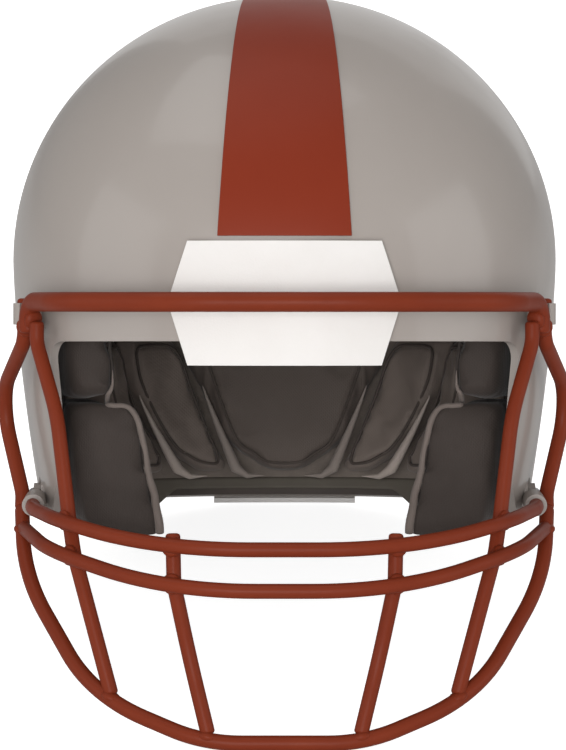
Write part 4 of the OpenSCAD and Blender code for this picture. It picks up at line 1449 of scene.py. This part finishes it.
@dataclass
class FaceGuard:
    """The bent bars in front of the face and the weld beads that join them."""

    brow_radius: float = 4.0
    rim_radius: float = 3.15
    bar_radius: float = 3.0
    bead: float = 1.25
    end_run: float = 80.0
    side_knee: Pair = (108.5, -88.9)
    rim_end: Triple = (111.8, -64.2, -87.9)
    wires: tuple[Wire, ...] = ()

    def __post_init__(self) -> None:
        """Lays out the bars' routes."""
        x, y = self.side_knee
        end = self.rim_end
        self.wires = (
            Wire("brow_bar", ((42, -160, 0), (91, -131, 0), (106.5, -95.03, 0), (106.5, -95.03, -13)),
                 (78, 44, 9), self.brow_radius, True),
            Wire("chin_bar", ((32, -155.5, -175.5), (77.5, -138, -158.7), (x, -92, -114.6), end),
                 (60, 75, 120), self.rim_radius, True),
            Wire("upper_cross_bar", ((50, -161, -98), (91.5, -127, -89), (106.2, -84, -86.5),
                                     (106.2, -60, -84.5)), (100, 60, 40), self.bar_radius, True),
            Wire("lower_cross_bar", ((46, -163.5, -114.2), (95.8, -126.5, -101), (110.23, -74.33, -95.62)),
                 (100, 60), self.bar_radius, True),
            Wire("side_bar", ((x, y, 1.5), (x, y, -16), (123, -42, -41), (112, -58.5, -82), end),
                 (9.5, 20, 14), self.rim_radius),
            Wire("inner_bar", ((102.6, -99.95, -8), (102.6, -99.95, -17), (93.5, -112, -46),
                               (88.0, -118.72, -89.14), (85.5, -125.79, -102.79), (69.66, -139.32, -158.21)),
                 (14, 60, 24, 24), self.bar_radius),
            Wire("centre_bar", ((44.5, -150.79, -92.2), (44, -153.02, -112.35), (37.98, -147.22, -142.2),
                                (30.39, -153.96, -172.2)), (16, 60), self.bar_radius),
        )

    def paths(self) -> dict[str, tuple[list[Vector], float]]:
        """Gives every bar's centre line and radius by its CAD name.

        Returns:
            The paths, with the paired bars on both sides.
        """
        found = {}
        for wire in self.wires:
            path = wire.path()
            if wire.across:
                found[wire.name] = (path, wire.radius)
            else:
                found[f"{wire.name}_right"] = (path, wire.radius)
                found[f"{wire.name}_left"] = ([Vector((-p.x, p.y, p.z)) for p in path], wire.radius)
        return found

    def nearest(self, a: Sequence[Vector], b: Sequence[Vector]) -> tuple[Vector, Vector, Vector, Vector]:
        """Finds where two bars come closest.

        Args:
            a: Points of the first centre line.
            b: Points of the second centre line.

        Returns:
            The point on each line and the direction of each line there.
        """
        steps = 12
        fine = [[p.lerp(q, k / steps) for p, q in zip(path, path[1:]) for k in range(steps)] + [path[-1]]
                for path in (a, b)]
        i, j = min(((i, j) for i in range(0, len(fine[0]), 2) for j in range(0, len(fine[1]), 2)),
                   key=lambda ij: (fine[0][ij[0]] - fine[1][ij[1]]).length_squared)
        runs = [path[min(k + 1, len(path) - 1)] - path[max(k - 1, 0)] for path, k in zip(fine, (i, j))]
        return fine[0][i], fine[1][j], runs[0].normalized(), runs[1].normalized()

    def beads(self) -> Mesh:
        """Builds the weld beads as flattened lumps in the crotches of the bars.

        Returns:
            The beads in worn millimetres.
        """
        paths = self.paths()
        pairs = []
        for side in ("left", "right"):
            pairs += [("brow_bar", f"inner_bar_{side}"), ("brow_bar", f"side_bar_{side}"),
                      (f"centre_bar_{side}", "chin_bar"), (f"centre_bar_{side}", "lower_cross_bar"),
                      (f"centre_bar_{side}", "upper_cross_bar"), ("chin_bar", f"inner_bar_{side}"),
                      (f"inner_bar_{side}", "lower_cross_bar"), (f"inner_bar_{side}", "upper_cross_bar")]
        for sign in (1, -1):
            for name in ("chin_bar", "lower_cross_bar"):
                path, radius = paths[name]
                paths[f"{name}_end_{sign}"] = ([p for p in path if p.x * sign > self.end_run], radius)
            pairs.append((f"chin_bar_end_{sign}", f"lower_cross_bar_end_{sign}"))
        bm = bmesh.new()
        for first, second in pairs:
            (path_a, ra), (path_b, rb) = paths[first], paths[second]
            pa, pb, da, db = self.nearest(path_a, path_b)
            away = pb - pa
            middle = pa + away * (ra / (ra + rb)) if away.length > 1.0 else pb
            n = away.normalized() if away.length > 1.0 else db
            u = (da - n * n.dot(da)).normalized()
            v = n.cross(u)
            made = bmesh.ops.create_icosphere(bm, subdivisions=3, radius=1.0)
            wide = min(ra, rb) + self.bead
            size = (wide * 1.02, wide * 0.98, self.bead + 1.1)
            rows = [[*row] for row in zip(u * size[0], v * size[1], n * size[2], middle)]
            place = Matrix(rows + [[0, 0, 0, 1]])
            bmesh.ops.transform(bm, matrix=place, verts=made["verts"])
        return bm

    def build(self) -> list[bpy.types.Object]:
        """Builds the bars and their weld beads.

        Returns:
            The pieces.
        """
        made, coat = [], [Finishes.GUARD]
        for name, (path, radius) in self.paths().items():
            points, radii = rounded_ends(path, radius)
            bar = tube(points, radii, 12)
            made.append(finished(f"{name}_coated", bar, coat, FACE_GUARD, "guard_bar", [name]))
        made.append(finished("weld_beads", self.beads(), coat, FACE_GUARD, "guard_bar"))
        return made


# Pads


def closing(t: float) -> float:
    """Spreads a share over -1 to 1, closer together at both ends."""
    return math.sin(math.pi / 2 * (2 * t - 1))


def drawn(u: float, v: float) -> float:
    """Draws a pad's side in between its corners and rounds the corners off."""
    return u * (1 - 0.03 * (1 - v * v) - 0.1 * v ** 8)


def within(ends: Pair, u: float) -> float:
    """Gives the value a share from -1 to 1 between two ends."""
    return blend(ends[0], ends[1], (u + 1) / 2)


@dataclass(frozen=True)
class Pad:
    """One sewn pad: where it lies, how deep it is and how its cover is stitched."""

    node: str
    at: Lay
    back: float
    depth: Curve
    power: float = 6.0
    chamfer: float = 0.0
    both_corners: bool = False
    twin: str = ""
    # Painted light: pads default to a copy of the cover cloth painted lighter against the shade further in.
    cloth: Finishes = Finishes.DEEP_PAD_PAINTED_LIGHT
    ease: float = 0.9
    channels: tuple[tuple[Pair, ...], ...] = ()
    welt: float = 0.84

    def point(self, u: float, v: float, shown: bool) -> Vector:
        """Gives a point of the pad's cover.

        Args:
            u: Share along the pad, -1 to 1.
            v: Share up the pad, -1 to 1.
            shown: True for the face that the head touches.

        Returns:
            The point in worn millimetres.
        """
        swell = math.sqrt(max(0.0, 1 - u ** self.power) * max(0.0, 1 - v ** self.power))
        share = 0.3 + 0.7 * swell if shown else 0.24 * (1 - swell)
        side = abs(u) if self.both_corners else -u
        lift = self.chamfer * max(0.0, (side - 0.3) / 0.7) * max(0.0, (-v - 0.6) / 0.4)
        return self.at(drawn(u, v), min(1.0, drawn(v, u) + lift), self.back + self.depth(v) * share)

    def form(self) -> Mesh:
        """Builds the pad's closed cover."""
        return slab(lambda s, t: self.point(closing(s), closing(t), True),
                    lambda s, t: self.point(closing(s), closing(t), False), 34, 30)

    def ring(self, share: float, count: int = 120) -> list[Vector]:
        """Gives a rounded ring on the pad's shown face, for a seam.

        Args:
            share: Reach of the ring, 1 at the pad's edge.
            count: Points of the ring.

        Returns:
            The points in worn millimetres.
        """
        points = []
        for c, s in ring(1.0, count):
            u, v = math.copysign(abs(c) ** 0.4, c), math.copysign(abs(s) ** 0.4, s)
            points.append(self.point(share * u, share * v, True))
        return points

    def line(self, corners: Sequence[Pair], step: float = 0.03) -> list[Vector]:
        """Gives a line of stitches on the shown face.

        Args:
            corners: Corners of the line in shares of the pad.
            step: Longest step between two points, in shares.

        Returns:
            The points in worn millimetres.
        """
        points = []
        for (u0, v0), (u1, v1) in zip(corners, corners[1:]):
            count = max(2, int(math.hypot(u1 - u0, v1 - v0) / step))
            shares = [k / count for k in range(count + 1)]
            points += [self.point(blend(u0, u1, t), blend(v0, v1, t), True) for t in shares]
        return points


BACK_LEVELS = (-84.0, -45.0, -14.0)


def seam_by_level(low: float, mid: float, high: float) -> Curve:
    """Gives the bearing of a seam by level from its foot, knee and top."""
    return lambda z: between(z, list(zip(BACK_LEVELS, (low, mid, high))))


def back_at(start: Curve, end: Curve) -> Lay:
    """Lays a back pad between two seams.

    Args:
        start: Bearing of the first seam by level.
        end: Bearing of the second seam by level.

    Returns:
        What gives a point for two shares and a depth.
    """
    def at(u: float, v: float, e: float) -> Vector:
        """Gives a point of the pad."""
        z = within((BACK_LEVELS[0], BACK_LEVELS[-1]), v)
        return FORM.by_bearing(within((start(z), end(z)), u), z, e)

    return at


def patch_at(turns: Pair, levels: Pair) -> Lay:
    """Lays a pad between two bearings and two levels."""
    return lambda u, v, e: FORM.by_bearing(within(turns, u), within(levels, v), e)


def side_at(run: Pair, levels: Pair) -> Lay:
    """Lays a pad on the right side between two lengths and two levels."""
    return lambda u, v, e: FORM.on_side(within(run, u), within(levels, v), e)


@dataclass(frozen=True)
class Crease:
    """One bolster whose pale cloth is a painted highlight line: its seam's bearings, its foot's bearing, the
    level of its top and its cloth.
    """

    name: str
    seam: Triple
    foot: float
    top: float
    cloth: Finishes


@dataclass
class Padding:
    """The sewn pads, the seams between them and the felt behind them."""

    lining_back: float = 3.8
    lining: float = 3.0
    crown_back: float = 4.4
    crown_depth: float = 19.0
    back_depth: float = 21.0
    side_back: float = 9.7
    temple_depth: float = 17.0
    jaw_low: float = 31.5
    jaw_top: float = 25.0
    jaw_drop: float = 7.5
    voxel: float = 4.2
    pressure: float = 4.0
    travel: float = 2.0
    frames: int = 20
    fill: float = 0.8
    cord: float = 0.75
    crease_low: float = -79.5
    crease_foot: float = -83.2
    crease_in: Pair = (26.5, 22.0)
    crease_thin: Pair = (0.25, 0.15)
    crease_full: float = 2.6
    # The bolsters' pale cloths are painted highlights; the outer one is painted paler still against its
    # deeper shade.
    creases_at: tuple[Crease, ...] = (
        Crease("outer_crease", (61.4, 43.3, 38.5), 69.5, -44.0, Finishes.DEEP_PIPING_PAINTED_HIGHLIGHT),
        Crease("mid_crease", (79.6, 69.3, 61.6), 86.0, -40.0, Finishes.PIPING_PAINTED_HIGHLIGHT))
    edge_corners: tuple[tuple[float, float, float, float], ...] = (
        (75.6, -29.0, 0.15, 0), (75.6, -35.0, 0.6, 0), (75.6, -38.8, 1.0, 0), (74.8, -41.8, 1.1, -60),
        (69.5, -42.3, 1.1, -85), (66.9, -46.8, 1.2, -15), (62.6, -65.1, 1.45, 0), (58.5, -82.1, 1.75, 0),
        (55.4, -99.5, 1.9, 0))
    edge_x: float = 76.3
    edge_y: float = -70.0
    edge_ease: float = 1.2
    edge_search: Pair = (-8.0, 16.0)
    edge_step: float = 0.4
    lining_turns: Pair = (24.0, 156.0)
    lining_levels: Pair = (-88.0, -14.0)
    band_levels: Pair = (-90.0, -84.5)
    band_more: float = 1.2
    dip: float = 8.0
    dip_from: float = 27.0
    dip_run: float = 7.0

    def jaw_at(self, u: float, v: float, e: float) -> Vector:
        """Lays the right jaw pad, whose foot drops towards the cheek."""
        drop = self.jaw_drop * (e - self.side_back) / self.jaw_low * (1 - v) / 2
        return FORM.on_side(within((-80.0, -26.0), u), within((-96.0, -41.2), v) - drop, e)

    def pads(self) -> list[Pad]:
        """Lists the pads, the paired ones on the right only.

        Returns:
            The pads.
        """
        back, crown = self.lining_back + self.lining + 0.3, self.crown_back
        centre = seam_by_level(80.6, 69.6, 62.0)
        mid = back_at(seam_by_level(63.3, 43.9, 39.0), seam_by_level(78.7, 69.0, 61.2))
        outer = back_at(seam_by_level(37.0, 29.0, 26.0), seam_by_level(59.5, 42.6, 38.0))
        cross = (((-0.84, 0.0), (0.84, 0.0)), ((0.0, -0.84), (0.0, 0.84)))
        rows = (((-0.84, -0.28), (0.84, -0.28)), ((-0.84, 0.28), (0.84, 0.28)))
        upright = (((-0.5, -0.84), (-0.5, 0.84)), ((0.0, -0.84), (0.0, 0.84)), ((0.5, -0.84), (0.5, 0.84)))

        def back_deep(v: float) -> float:
            """Gives the depth of the back pads."""
            return self.back_depth

        def crown_deep(v: float) -> float:
            """Gives the depth of the pads over the brow."""
            return self.crown_depth

        # The back pads on the slant and the pads further in take copies of the cover cloth painted lighter
        # against their shade; only the temple and jaw pads wear its own colour.
        return [
            Pad("back_pad_centre", back_at(centre, lambda z: 180 - centre(z)), back, back_deep,
                chamfer=0.36, both_corners=True),
            Pad("back_pad_mid_right", mid, back, back_deep, chamfer=0.36, twin="back_pad_mid_left",
                cloth=Finishes.SLANT_PAD_PAINTED_LIGHT),
            Pad("back_pad_outer_right", outer, back, back_deep, chamfer=0.3, twin="back_pad_outer_left",
                cloth=Finishes.SLANT_PAD_PAINTED_LIGHT),
            Pad("upper_back_pad", patch_at((42.0, 138.0), (-11.0, 62.0)), crown, crown_deep,
                channels=upright + rows[:1]),
            Pad("crown_pad", lambda u, v, e: FORM.on_top(52 * u, 68 * v, e), crown, crown_deep,
                channels=cross + rows),
            Pad("side_pad_right", patch_at((-5.0, 37.0), (-10.0, 62.0)), crown, crown_deep,
                twin="side_pad_left", channels=cross),
            Pad("forehead_pad", lambda u, v, e: FORM.on_front(56 * u, within((-12.0, 52.0), v), e), crown,
                crown_deep, channels=upright),
            Pad("temple_pad_right", side_at((-86.0, -26.0), (-42.2, 26.0)), self.side_back,
                lambda v: self.temple_depth, 26.0, twin="temple_pad_left", cloth=Finishes.PAD, ease=0.5,
                channels=rows[:1]),
            Pad("jaw_pad_right", self.jaw_at, self.side_back,
                lambda v: within((self.jaw_low, self.jaw_top), v), 30.0, twin="jaw_pad_left",
                cloth=Finishes.PAD, ease=0.5),
        ]

    def inflate(self, pieces: Sequence[bpy.types.Object]) -> None:
        """Blows the covers up a little inside their own space and lets the cloth crease.

        Args:
            pieces: Covers whose backs lie against the shell.
        """
        starts = {}
        scene = bpy.context.scene
        for piece in pieces:
            mesh = piece.data
            starts[piece.name] = [v.co.copy() for v in mesh.vertices]
            centre = sum((v.co for v in mesh.vertices), Vector()) / len(mesh.vertices)
            held = piece.vertex_groups.new(name="held")
            for v in mesh.vertices:
                if v.normal.dot((STANCE.place((0, 0, 10)) - centre).normalized()) < 0.25:
                    held.add([v.index], 1.0, "REPLACE")
            cloth = piece.modifiers.new("cloth", "CLOTH")
            settings = cloth.settings
            settings.quality = 5
            settings.mass = 0.25
            settings.tension_stiffness = settings.compression_stiffness = 12.0
            settings.shear_stiffness = 4.0
            settings.bending_stiffness = 0.3
            settings.shrink_min = -0.06
            settings.use_pressure = True
            settings.uniform_pressure_force = self.pressure
            settings.vertex_group_mass = "held"
            settings.effector_weights.gravity = 0.0
            cloth.collision_settings.use_collision = False
            cloth.point_cache.frame_start = 1
            cloth.point_cache.frame_end = self.frames
        for number in range(1, self.frames + 1):
            scene.frame_set(number)
        for piece in pieces:
            keep_evaluated(piece)
            for v, start in zip(piece.data.vertices, starts[piece.name]):
                moved = v.co - start
                limit = self.travel * MM
                if moved.length > limit:
                    v.co = start + moved * (limit / moved.length)
        scene.frame_set(1)

    def score(self, piece: bpy.types.Object, lines: Sequence[Sequence[Vector]], width: float,
              depth: float) -> None:
        """Presses lines of stitches into a cover.

        Args:
            piece: The cover.
            lines: Lines near the cover in standing metres.
            width: Half of a groove's width in metres.
            depth: Depth of a groove in metres.
        """
        marks = [p for line in lines for p in line]
        tree = KDTree(len(marks))
        for k, p in enumerate(marks):
            tree.insert(p, k)
        tree.balance()
        for v in piece.data.vertices:
            _, _, away = tree.find(v.co)
            if away < 3 * width:
                v.co -= v.normal * depth * math.exp(-(away / width) ** 2)

    def on_cover(self, line: Iterable[Vector], tree: BVHTree) -> list[Vector]:
        """Moves a nominal line of worn points onto a cover, in standing metres."""
        return [tree.find_nearest(STANCE.place(p))[0] for p in line]

    def cover(self, pad: Pad) -> bpy.types.Object:
        """Builds a pad's closed cover a little small and meshes it evenly.

        Args:
            pad: The pad.

        Returns:
            The cover's piece.
        """
        bm = pad.form()
        bmesh.ops.recalc_face_normals(bm, faces=bm.faces)
        bm.normal_update()
        for v, n in [(v, v.normal.copy()) for v in bm.verts]:
            v.co -= n * pad.ease
        piece = finished(f"{pad.node}_cover", bm, [pad.cloth], HELMET, "pad", [pad.node])
        remesh = piece.modifiers.new("even", "REMESH")
        remesh.mode = "VOXEL"
        remesh.voxel_size = self.voxel * MM
        remesh.use_smooth_shade = True
        relax = piece.modifiers.new("relax", "SMOOTH")
        relax.iterations = 1
        keep_evaluated(piece)
        return piece

    def sew(self, pad: Pad, piece: bpy.types.Object) -> None:
        """Refines a cover, presses its seam and channels in, lays its welt and makes its twin.

        Args:
            pad: The pad.
            piece: Its cover.
        """
        fine = piece.modifiers.new("fine", "SUBSURF")
        fine.levels = fine.render_levels = 2
        keep_evaluated(piece)
        piece.data.update()
        tree = tree_of(piece)
        ring = self.on_cover(pad.ring(pad.welt), tree)
        for _ in range(6):
            ring = [(a + b * 2 + c) / 4 for a, b, c in zip(ring[-1:] + ring[:-1], ring, ring[1:] + ring[:1])]
        lines = [self.on_cover(pad.line(channel), tree) for channel in pad.channels]
        self.score(piece, [ring], 1.6 * MM, 0.9 * MM)
        if lines:
            self.score(piece, lines, 2.4 * MM, 1.7 * MM)
        back = STANCE.matrix().inverted()
        bm = tube([back @ p for p in ring], [self.cord] * len(ring), 2, True)
        # Welts of the pads further in take a copy of the cord painted lighter, against their shade.
        cord = Finishes.WELT if pad.cloth is Finishes.PAD else Finishes.DEEP_WELT_PAINTED_LIGHT
        welt = finished(f"{pad.node}_welt", bm, [cord], HELMET, "pad")
        if pad.twin:
            self.mirror(piece, f"{pad.twin}_cover", pad.twin, [pad.cloth])
            self.mirror(welt, f"{pad.twin}_welt", "", [cord])

    def mirror(self, piece: bpy.types.Object, name: str, node: str, finishes: Sequence[Finishes]) -> None:
        """Makes the left piece from the right one.

        Args:
            piece: The right piece.
            name: Name of the left piece.
            node: CAD node that it stands for, or nothing.
            finishes: Finishes of the piece.
        """
        bm = bmesh.new()
        bm.from_mesh(piece.data)
        bmesh.ops.scale(bm, vec=(-1, 1, 1), verts=bm.verts)
        bmesh.ops.reverse_faces(bm, faces=bm.faces)
        made = finished(name, bm, finishes, HELMET, "pad", [node] if node else [], stand=False)

    def creases(self) -> None:
        """Lays the bolsters, painted pale as highlight lines, in the valleys between the back pads and along
        their feet.
        """
        deep, shallow = self.crease_in
        top_radius, end_radius = self.crease_thin
        for crease in self.creases_at:
            seam = seam_by_level(*crease.seam)
            path, radii = [], []
            for k in range(25):
                z = blend(crease.top, self.crease_low, k / 24)
                path.append(FORM.by_bearing(seam(z), z, blend(deep, shallow, k / 24)))
                radii.append(blend(top_radius, self.crease_full, (k / 24) ** 0.9))
            start = seam(self.crease_low)
            for k in range(1, 13):
                z = blend(self.crease_low, self.crease_foot, min(1.0, k / 5))
                path.append(FORM.by_bearing(blend(start, crease.foot, k / 12), z, shallow))
                radii.append(blend(self.crease_full, end_radius, (k / 12) ** 0.8))
            for side, sign in (("right", 1), ("left", -1)):
                bm = tube([Vector((sign * p.x, p.y, p.z)) for p in path], radii, 5)
                finished(f"{crease.name}_{side}", bm, [crease.cloth], HELMET, "lining")

    def edge_route(self, trees: Sequence[BVHTree]) -> tuple[list[Vector], list[float]]:
        """Finds the side covers' inner edge as seen from the front.

        Args:
            trees: Search trees of the right covers.

        Returns:
            Points of the edge in worn millimetres and the binding's radius at each.
        """
        back = STANCE.matrix().inverted()
        eye = STANCE.place((0, -Studio.distance, 0))
        path, radii = [], []
        first, last = self.edge_search
        for a, b in zip(self.edge_corners, self.edge_corners[1:]):
            for k in range(10):
                x, z, radius, turn = (blend(p, q, k / 10) for p, q in zip(a, b))
                way = Vector((math.cos(math.radians(turn)), 0, math.sin(math.radians(turn))))
                at = Vector((x, self.edge_y, z))
                for step in range(round((last - first) / self.edge_step)):
                    ray = STANCE.place(at + way * (self.edge_step * step + first)) - eye
                    hits = [tree.ray_cast(eye, ray.normalized())[0] for tree in trees]
                    if any(hits):
                        hit = back @ next(hit for hit in hits if hit)
                        path.append(Vector((min(hit.x, self.edge_x), min(hit.y, self.edge_y), hit.z)))
                        radii.append(radius)
                        break
        for _ in range(5):
            smooth = [(a + b * 2 + c) / 4 for a, b, c in zip(path, path[1:], path[2:])]
            path = path[:1] + smooth + path[-1:]
        return path, radii

    def painted_highlight_edge(self, trees: Sequence[BVHTree]) -> None:
        """Lays a binding painted pale as a highlight line along the side covers' inner edge, on both sides.

        Args:
            trees: Search trees of the right covers.
        """
        path, radii = self.edge_route(trees)
        ease = self.edge_ease
        for side, sign in (("right", 1), ("left", -1)):
            bm = tube([Vector((sign * (p.x - ease), p.y - ease, p.z)) for p in path], radii, 5)
            # The binding's pale cloth is a painted highlight along the pad's edge.
            finished(f"side_binding_{side}", bm, [Finishes.EDGING_PAINTED_HIGHLIGHT], HELMET, "lining")

    def felt_face(self, levels: Pair, e: float, dip: float) -> Face:
        """Gives a face behind the back pads whose foot dips beside the jaw.

        Args:
            levels: Levels of the foot and the top.
            e: Depth inside the shell's outer face.
            dip: How far the foot dips.

        Returns:
            What gives the face's point for two shares.
        """
        def at(s: float, t: float) -> Vector:
            """Gives the face's point.

            Args:
                s: Share from one end to the other.
                t: Share up.

            Returns:
                The point in worn millimetres.
            """
            degrees = blend(*self.lining_turns, s)
            share = min(1.0, max(0.0, (abs(degrees - 90) - self.dip_from) / self.dip_run))
            return FORM.by_bearing(degrees, blend(levels[0] - dip * share, levels[1], t), e)

        return at

    def felt(self) -> None:
        """Builds the lining behind the back pads and the dark binding along its foot."""
        back, front = self.lining_back, self.lining_back + self.lining
        levels, band_levels = self.lining_levels, self.band_levels
        lining = slab(self.felt_face(levels, front, 0), self.felt_face(levels, back, 0), 90, 24)
        felt = finished("back_felt", lining, [Finishes.LINING], HELMET, "lining", ["back_lining"])
        bevelled(felt, 0.8, 2, 60.0)
        band = slab(self.felt_face(band_levels, front + self.band_more, self.dip),
                    self.felt_face(band_levels, back, self.dip), 90, 4)
        binding = finished("lining_binding", band, [Finishes.BINDING], HELMET, "lining")
        bevelled(binding, 1.5, 3, 60.0)

    def build(self) -> None:
        """Builds every pad, inflates the covers together and sews them."""
        pads = self.pads()
        covers = {pad.node: self.cover(pad) for pad in pads}
        self.inflate(list(covers.values()))
        for pad in pads:
            self.sew(pad, covers[pad.node])
        self.painted_highlight_edge([tree_of(covers[name]) for name in ("temple_pad_right", "jaw_pad_right")])
        self.creases()
        self.felt()


# Stage


@dataclass
class Studio:
    """Floor, backdrop light and the camera that looks straight at the brow."""

    distance: float = 1400.0
    aim: Triple = (-0.67, 0.0, -32.6)
    frame_height: float = 334.5
    backdrop: float = 1.0
    mirror_glow: float = 0.3
    ambient: float = 0.37
    floor_glow: float = 0.82

    def camera(self) -> bpy.types.Object:
        """Places the camera where the photograph was taken from.

        Returns:
            The camera.
        """
        data = bpy.data.cameras.new("camera")
        data.sensor_fit = "VERTICAL"
        data.sensor_height = 36.0
        data.lens = 36.0 * self.distance / self.frame_height
        camera = bpy.data.objects.new("camera", data)
        bpy.context.scene.collection.objects.link(camera)
        eye, target = STANCE.place((0, -self.distance, 0)), STANCE.place(self.aim)
        camera.location = eye
        camera.rotation_euler = (target - eye).to_track_quat("-Z", "Y").to_euler()
        bpy.context.scene.camera = camera
        return camera

    def floor(self) -> bpy.types.Object:
        """Builds a pale floor that the camera sees as white outside the object's shadow.

        Returns:
            The floor.
        """
        bm = bmesh.new()
        bmesh.ops.create_grid(bm, x_segments=1, y_segments=1, size=6.0)
        mesh = bpy.data.meshes.new("floor")
        bm.to_mesh(mesh)
        bm.free()
        floor = bpy.data.objects.new("floor", mesh)
        bpy.context.scene.collection.objects.link(floor)
        made = bpy.data.materials.new("pale floor")
        made.use_nodes = True
        hand = Nodes(made.node_tree)
        shader = made.node_tree.nodes["Principled BSDF"]
        shader.inputs["Base Color"].default_value = (0.7, 0.7, 0.7, 1)
        shader.inputs["Roughness"].default_value = 0.9
        shader.inputs["Specular IOR Level"].default_value = 0.0
        shader.inputs["Emission Color"].default_value = (1, 1, 1, 1)
        seen = hand.add("ShaderNodeLightPath").outputs["Is Camera Ray"]
        hand.link(hand.maths("MULTIPLY", seen, self.floor_glow), shader.inputs["Emission Strength"])
        mesh.materials.append(made)
        return floor

    def lamps(self) -> None:
        """Hangs the soft lamps: two in front, one on each side, one behind and one above."""
        for name, at, size, power in (
            ("front", (-0.2, -1.7, 0.55), 0.8, 12.6),
            ("low", (0.0, -1.5, 0.16), 0.9, 5.6),
            ("right", (1.4, -0.5, 0.4), 1.2, 6.0),
            ("left", (-1.4, -0.5, 0.4), 1.2, 5.2),
            ("rear", (0.3, 1.8, 0.6), 1.8, 6.0),
            ("top", (-0.3, 0.2, 1.7), 1.3, 7.0),
        ):
            data = bpy.data.lights.new(name, "AREA")
            data.size = size
            data.energy = power
            lamp = bpy.data.objects.new(name, data)
            lamp.location = at
            lamp.rotation_euler = (Vector((0, 0, 0.12)) - Vector(at)).to_track_quat("-Z", "Y").to_euler()
            bpy.context.scene.collection.objects.link(lamp)

    def build(self) -> None:
        """Builds the floor, the lamps and the world."""
        self.floor()
        self.lamps()
        world = bpy.data.worlds.new("studio")
        bpy.context.scene.world = world
        world.use_nodes = True
        hand = Nodes(world.node_tree)
        sky = world.node_tree.nodes["Background"]
        sky.inputs["Color"].default_value = (1, 1, 1, 1)
        paths = hand.add("ShaderNodeLightPath")
        camera = hand.maths("MULTIPLY", paths.outputs["Is Camera Ray"], self.backdrop - self.ambient)
        glossy = hand.maths("MULTIPLY", paths.outputs["Is Glossy Ray"], self.mirror_glow - self.ambient)
        hand.link(hand.maths("ADD", hand.maths("ADD", camera, glossy), self.ambient), sky.inputs["Strength"])
        bpy.context.scene.view_settings.view_transform = "Standard"


def main() -> None:
    """Builds the helmet's pieces in order."""
    logging.basicConfig(level=logging.INFO, format="%(name)s: %(message)s")
    studio = Studio()
    studio.camera()
    studio.build()
    Shell().build()
    CrownStripe().build()
    bumpers = Bumpers()
    bumpers.front()
    bumpers.rear()
    Screws().build()
    StrapStuds().build()
    Valves().build()
    Hardware().build()
    FaceGuard().build()
    Padding().build()


if __name__ == "__main__":
    main()
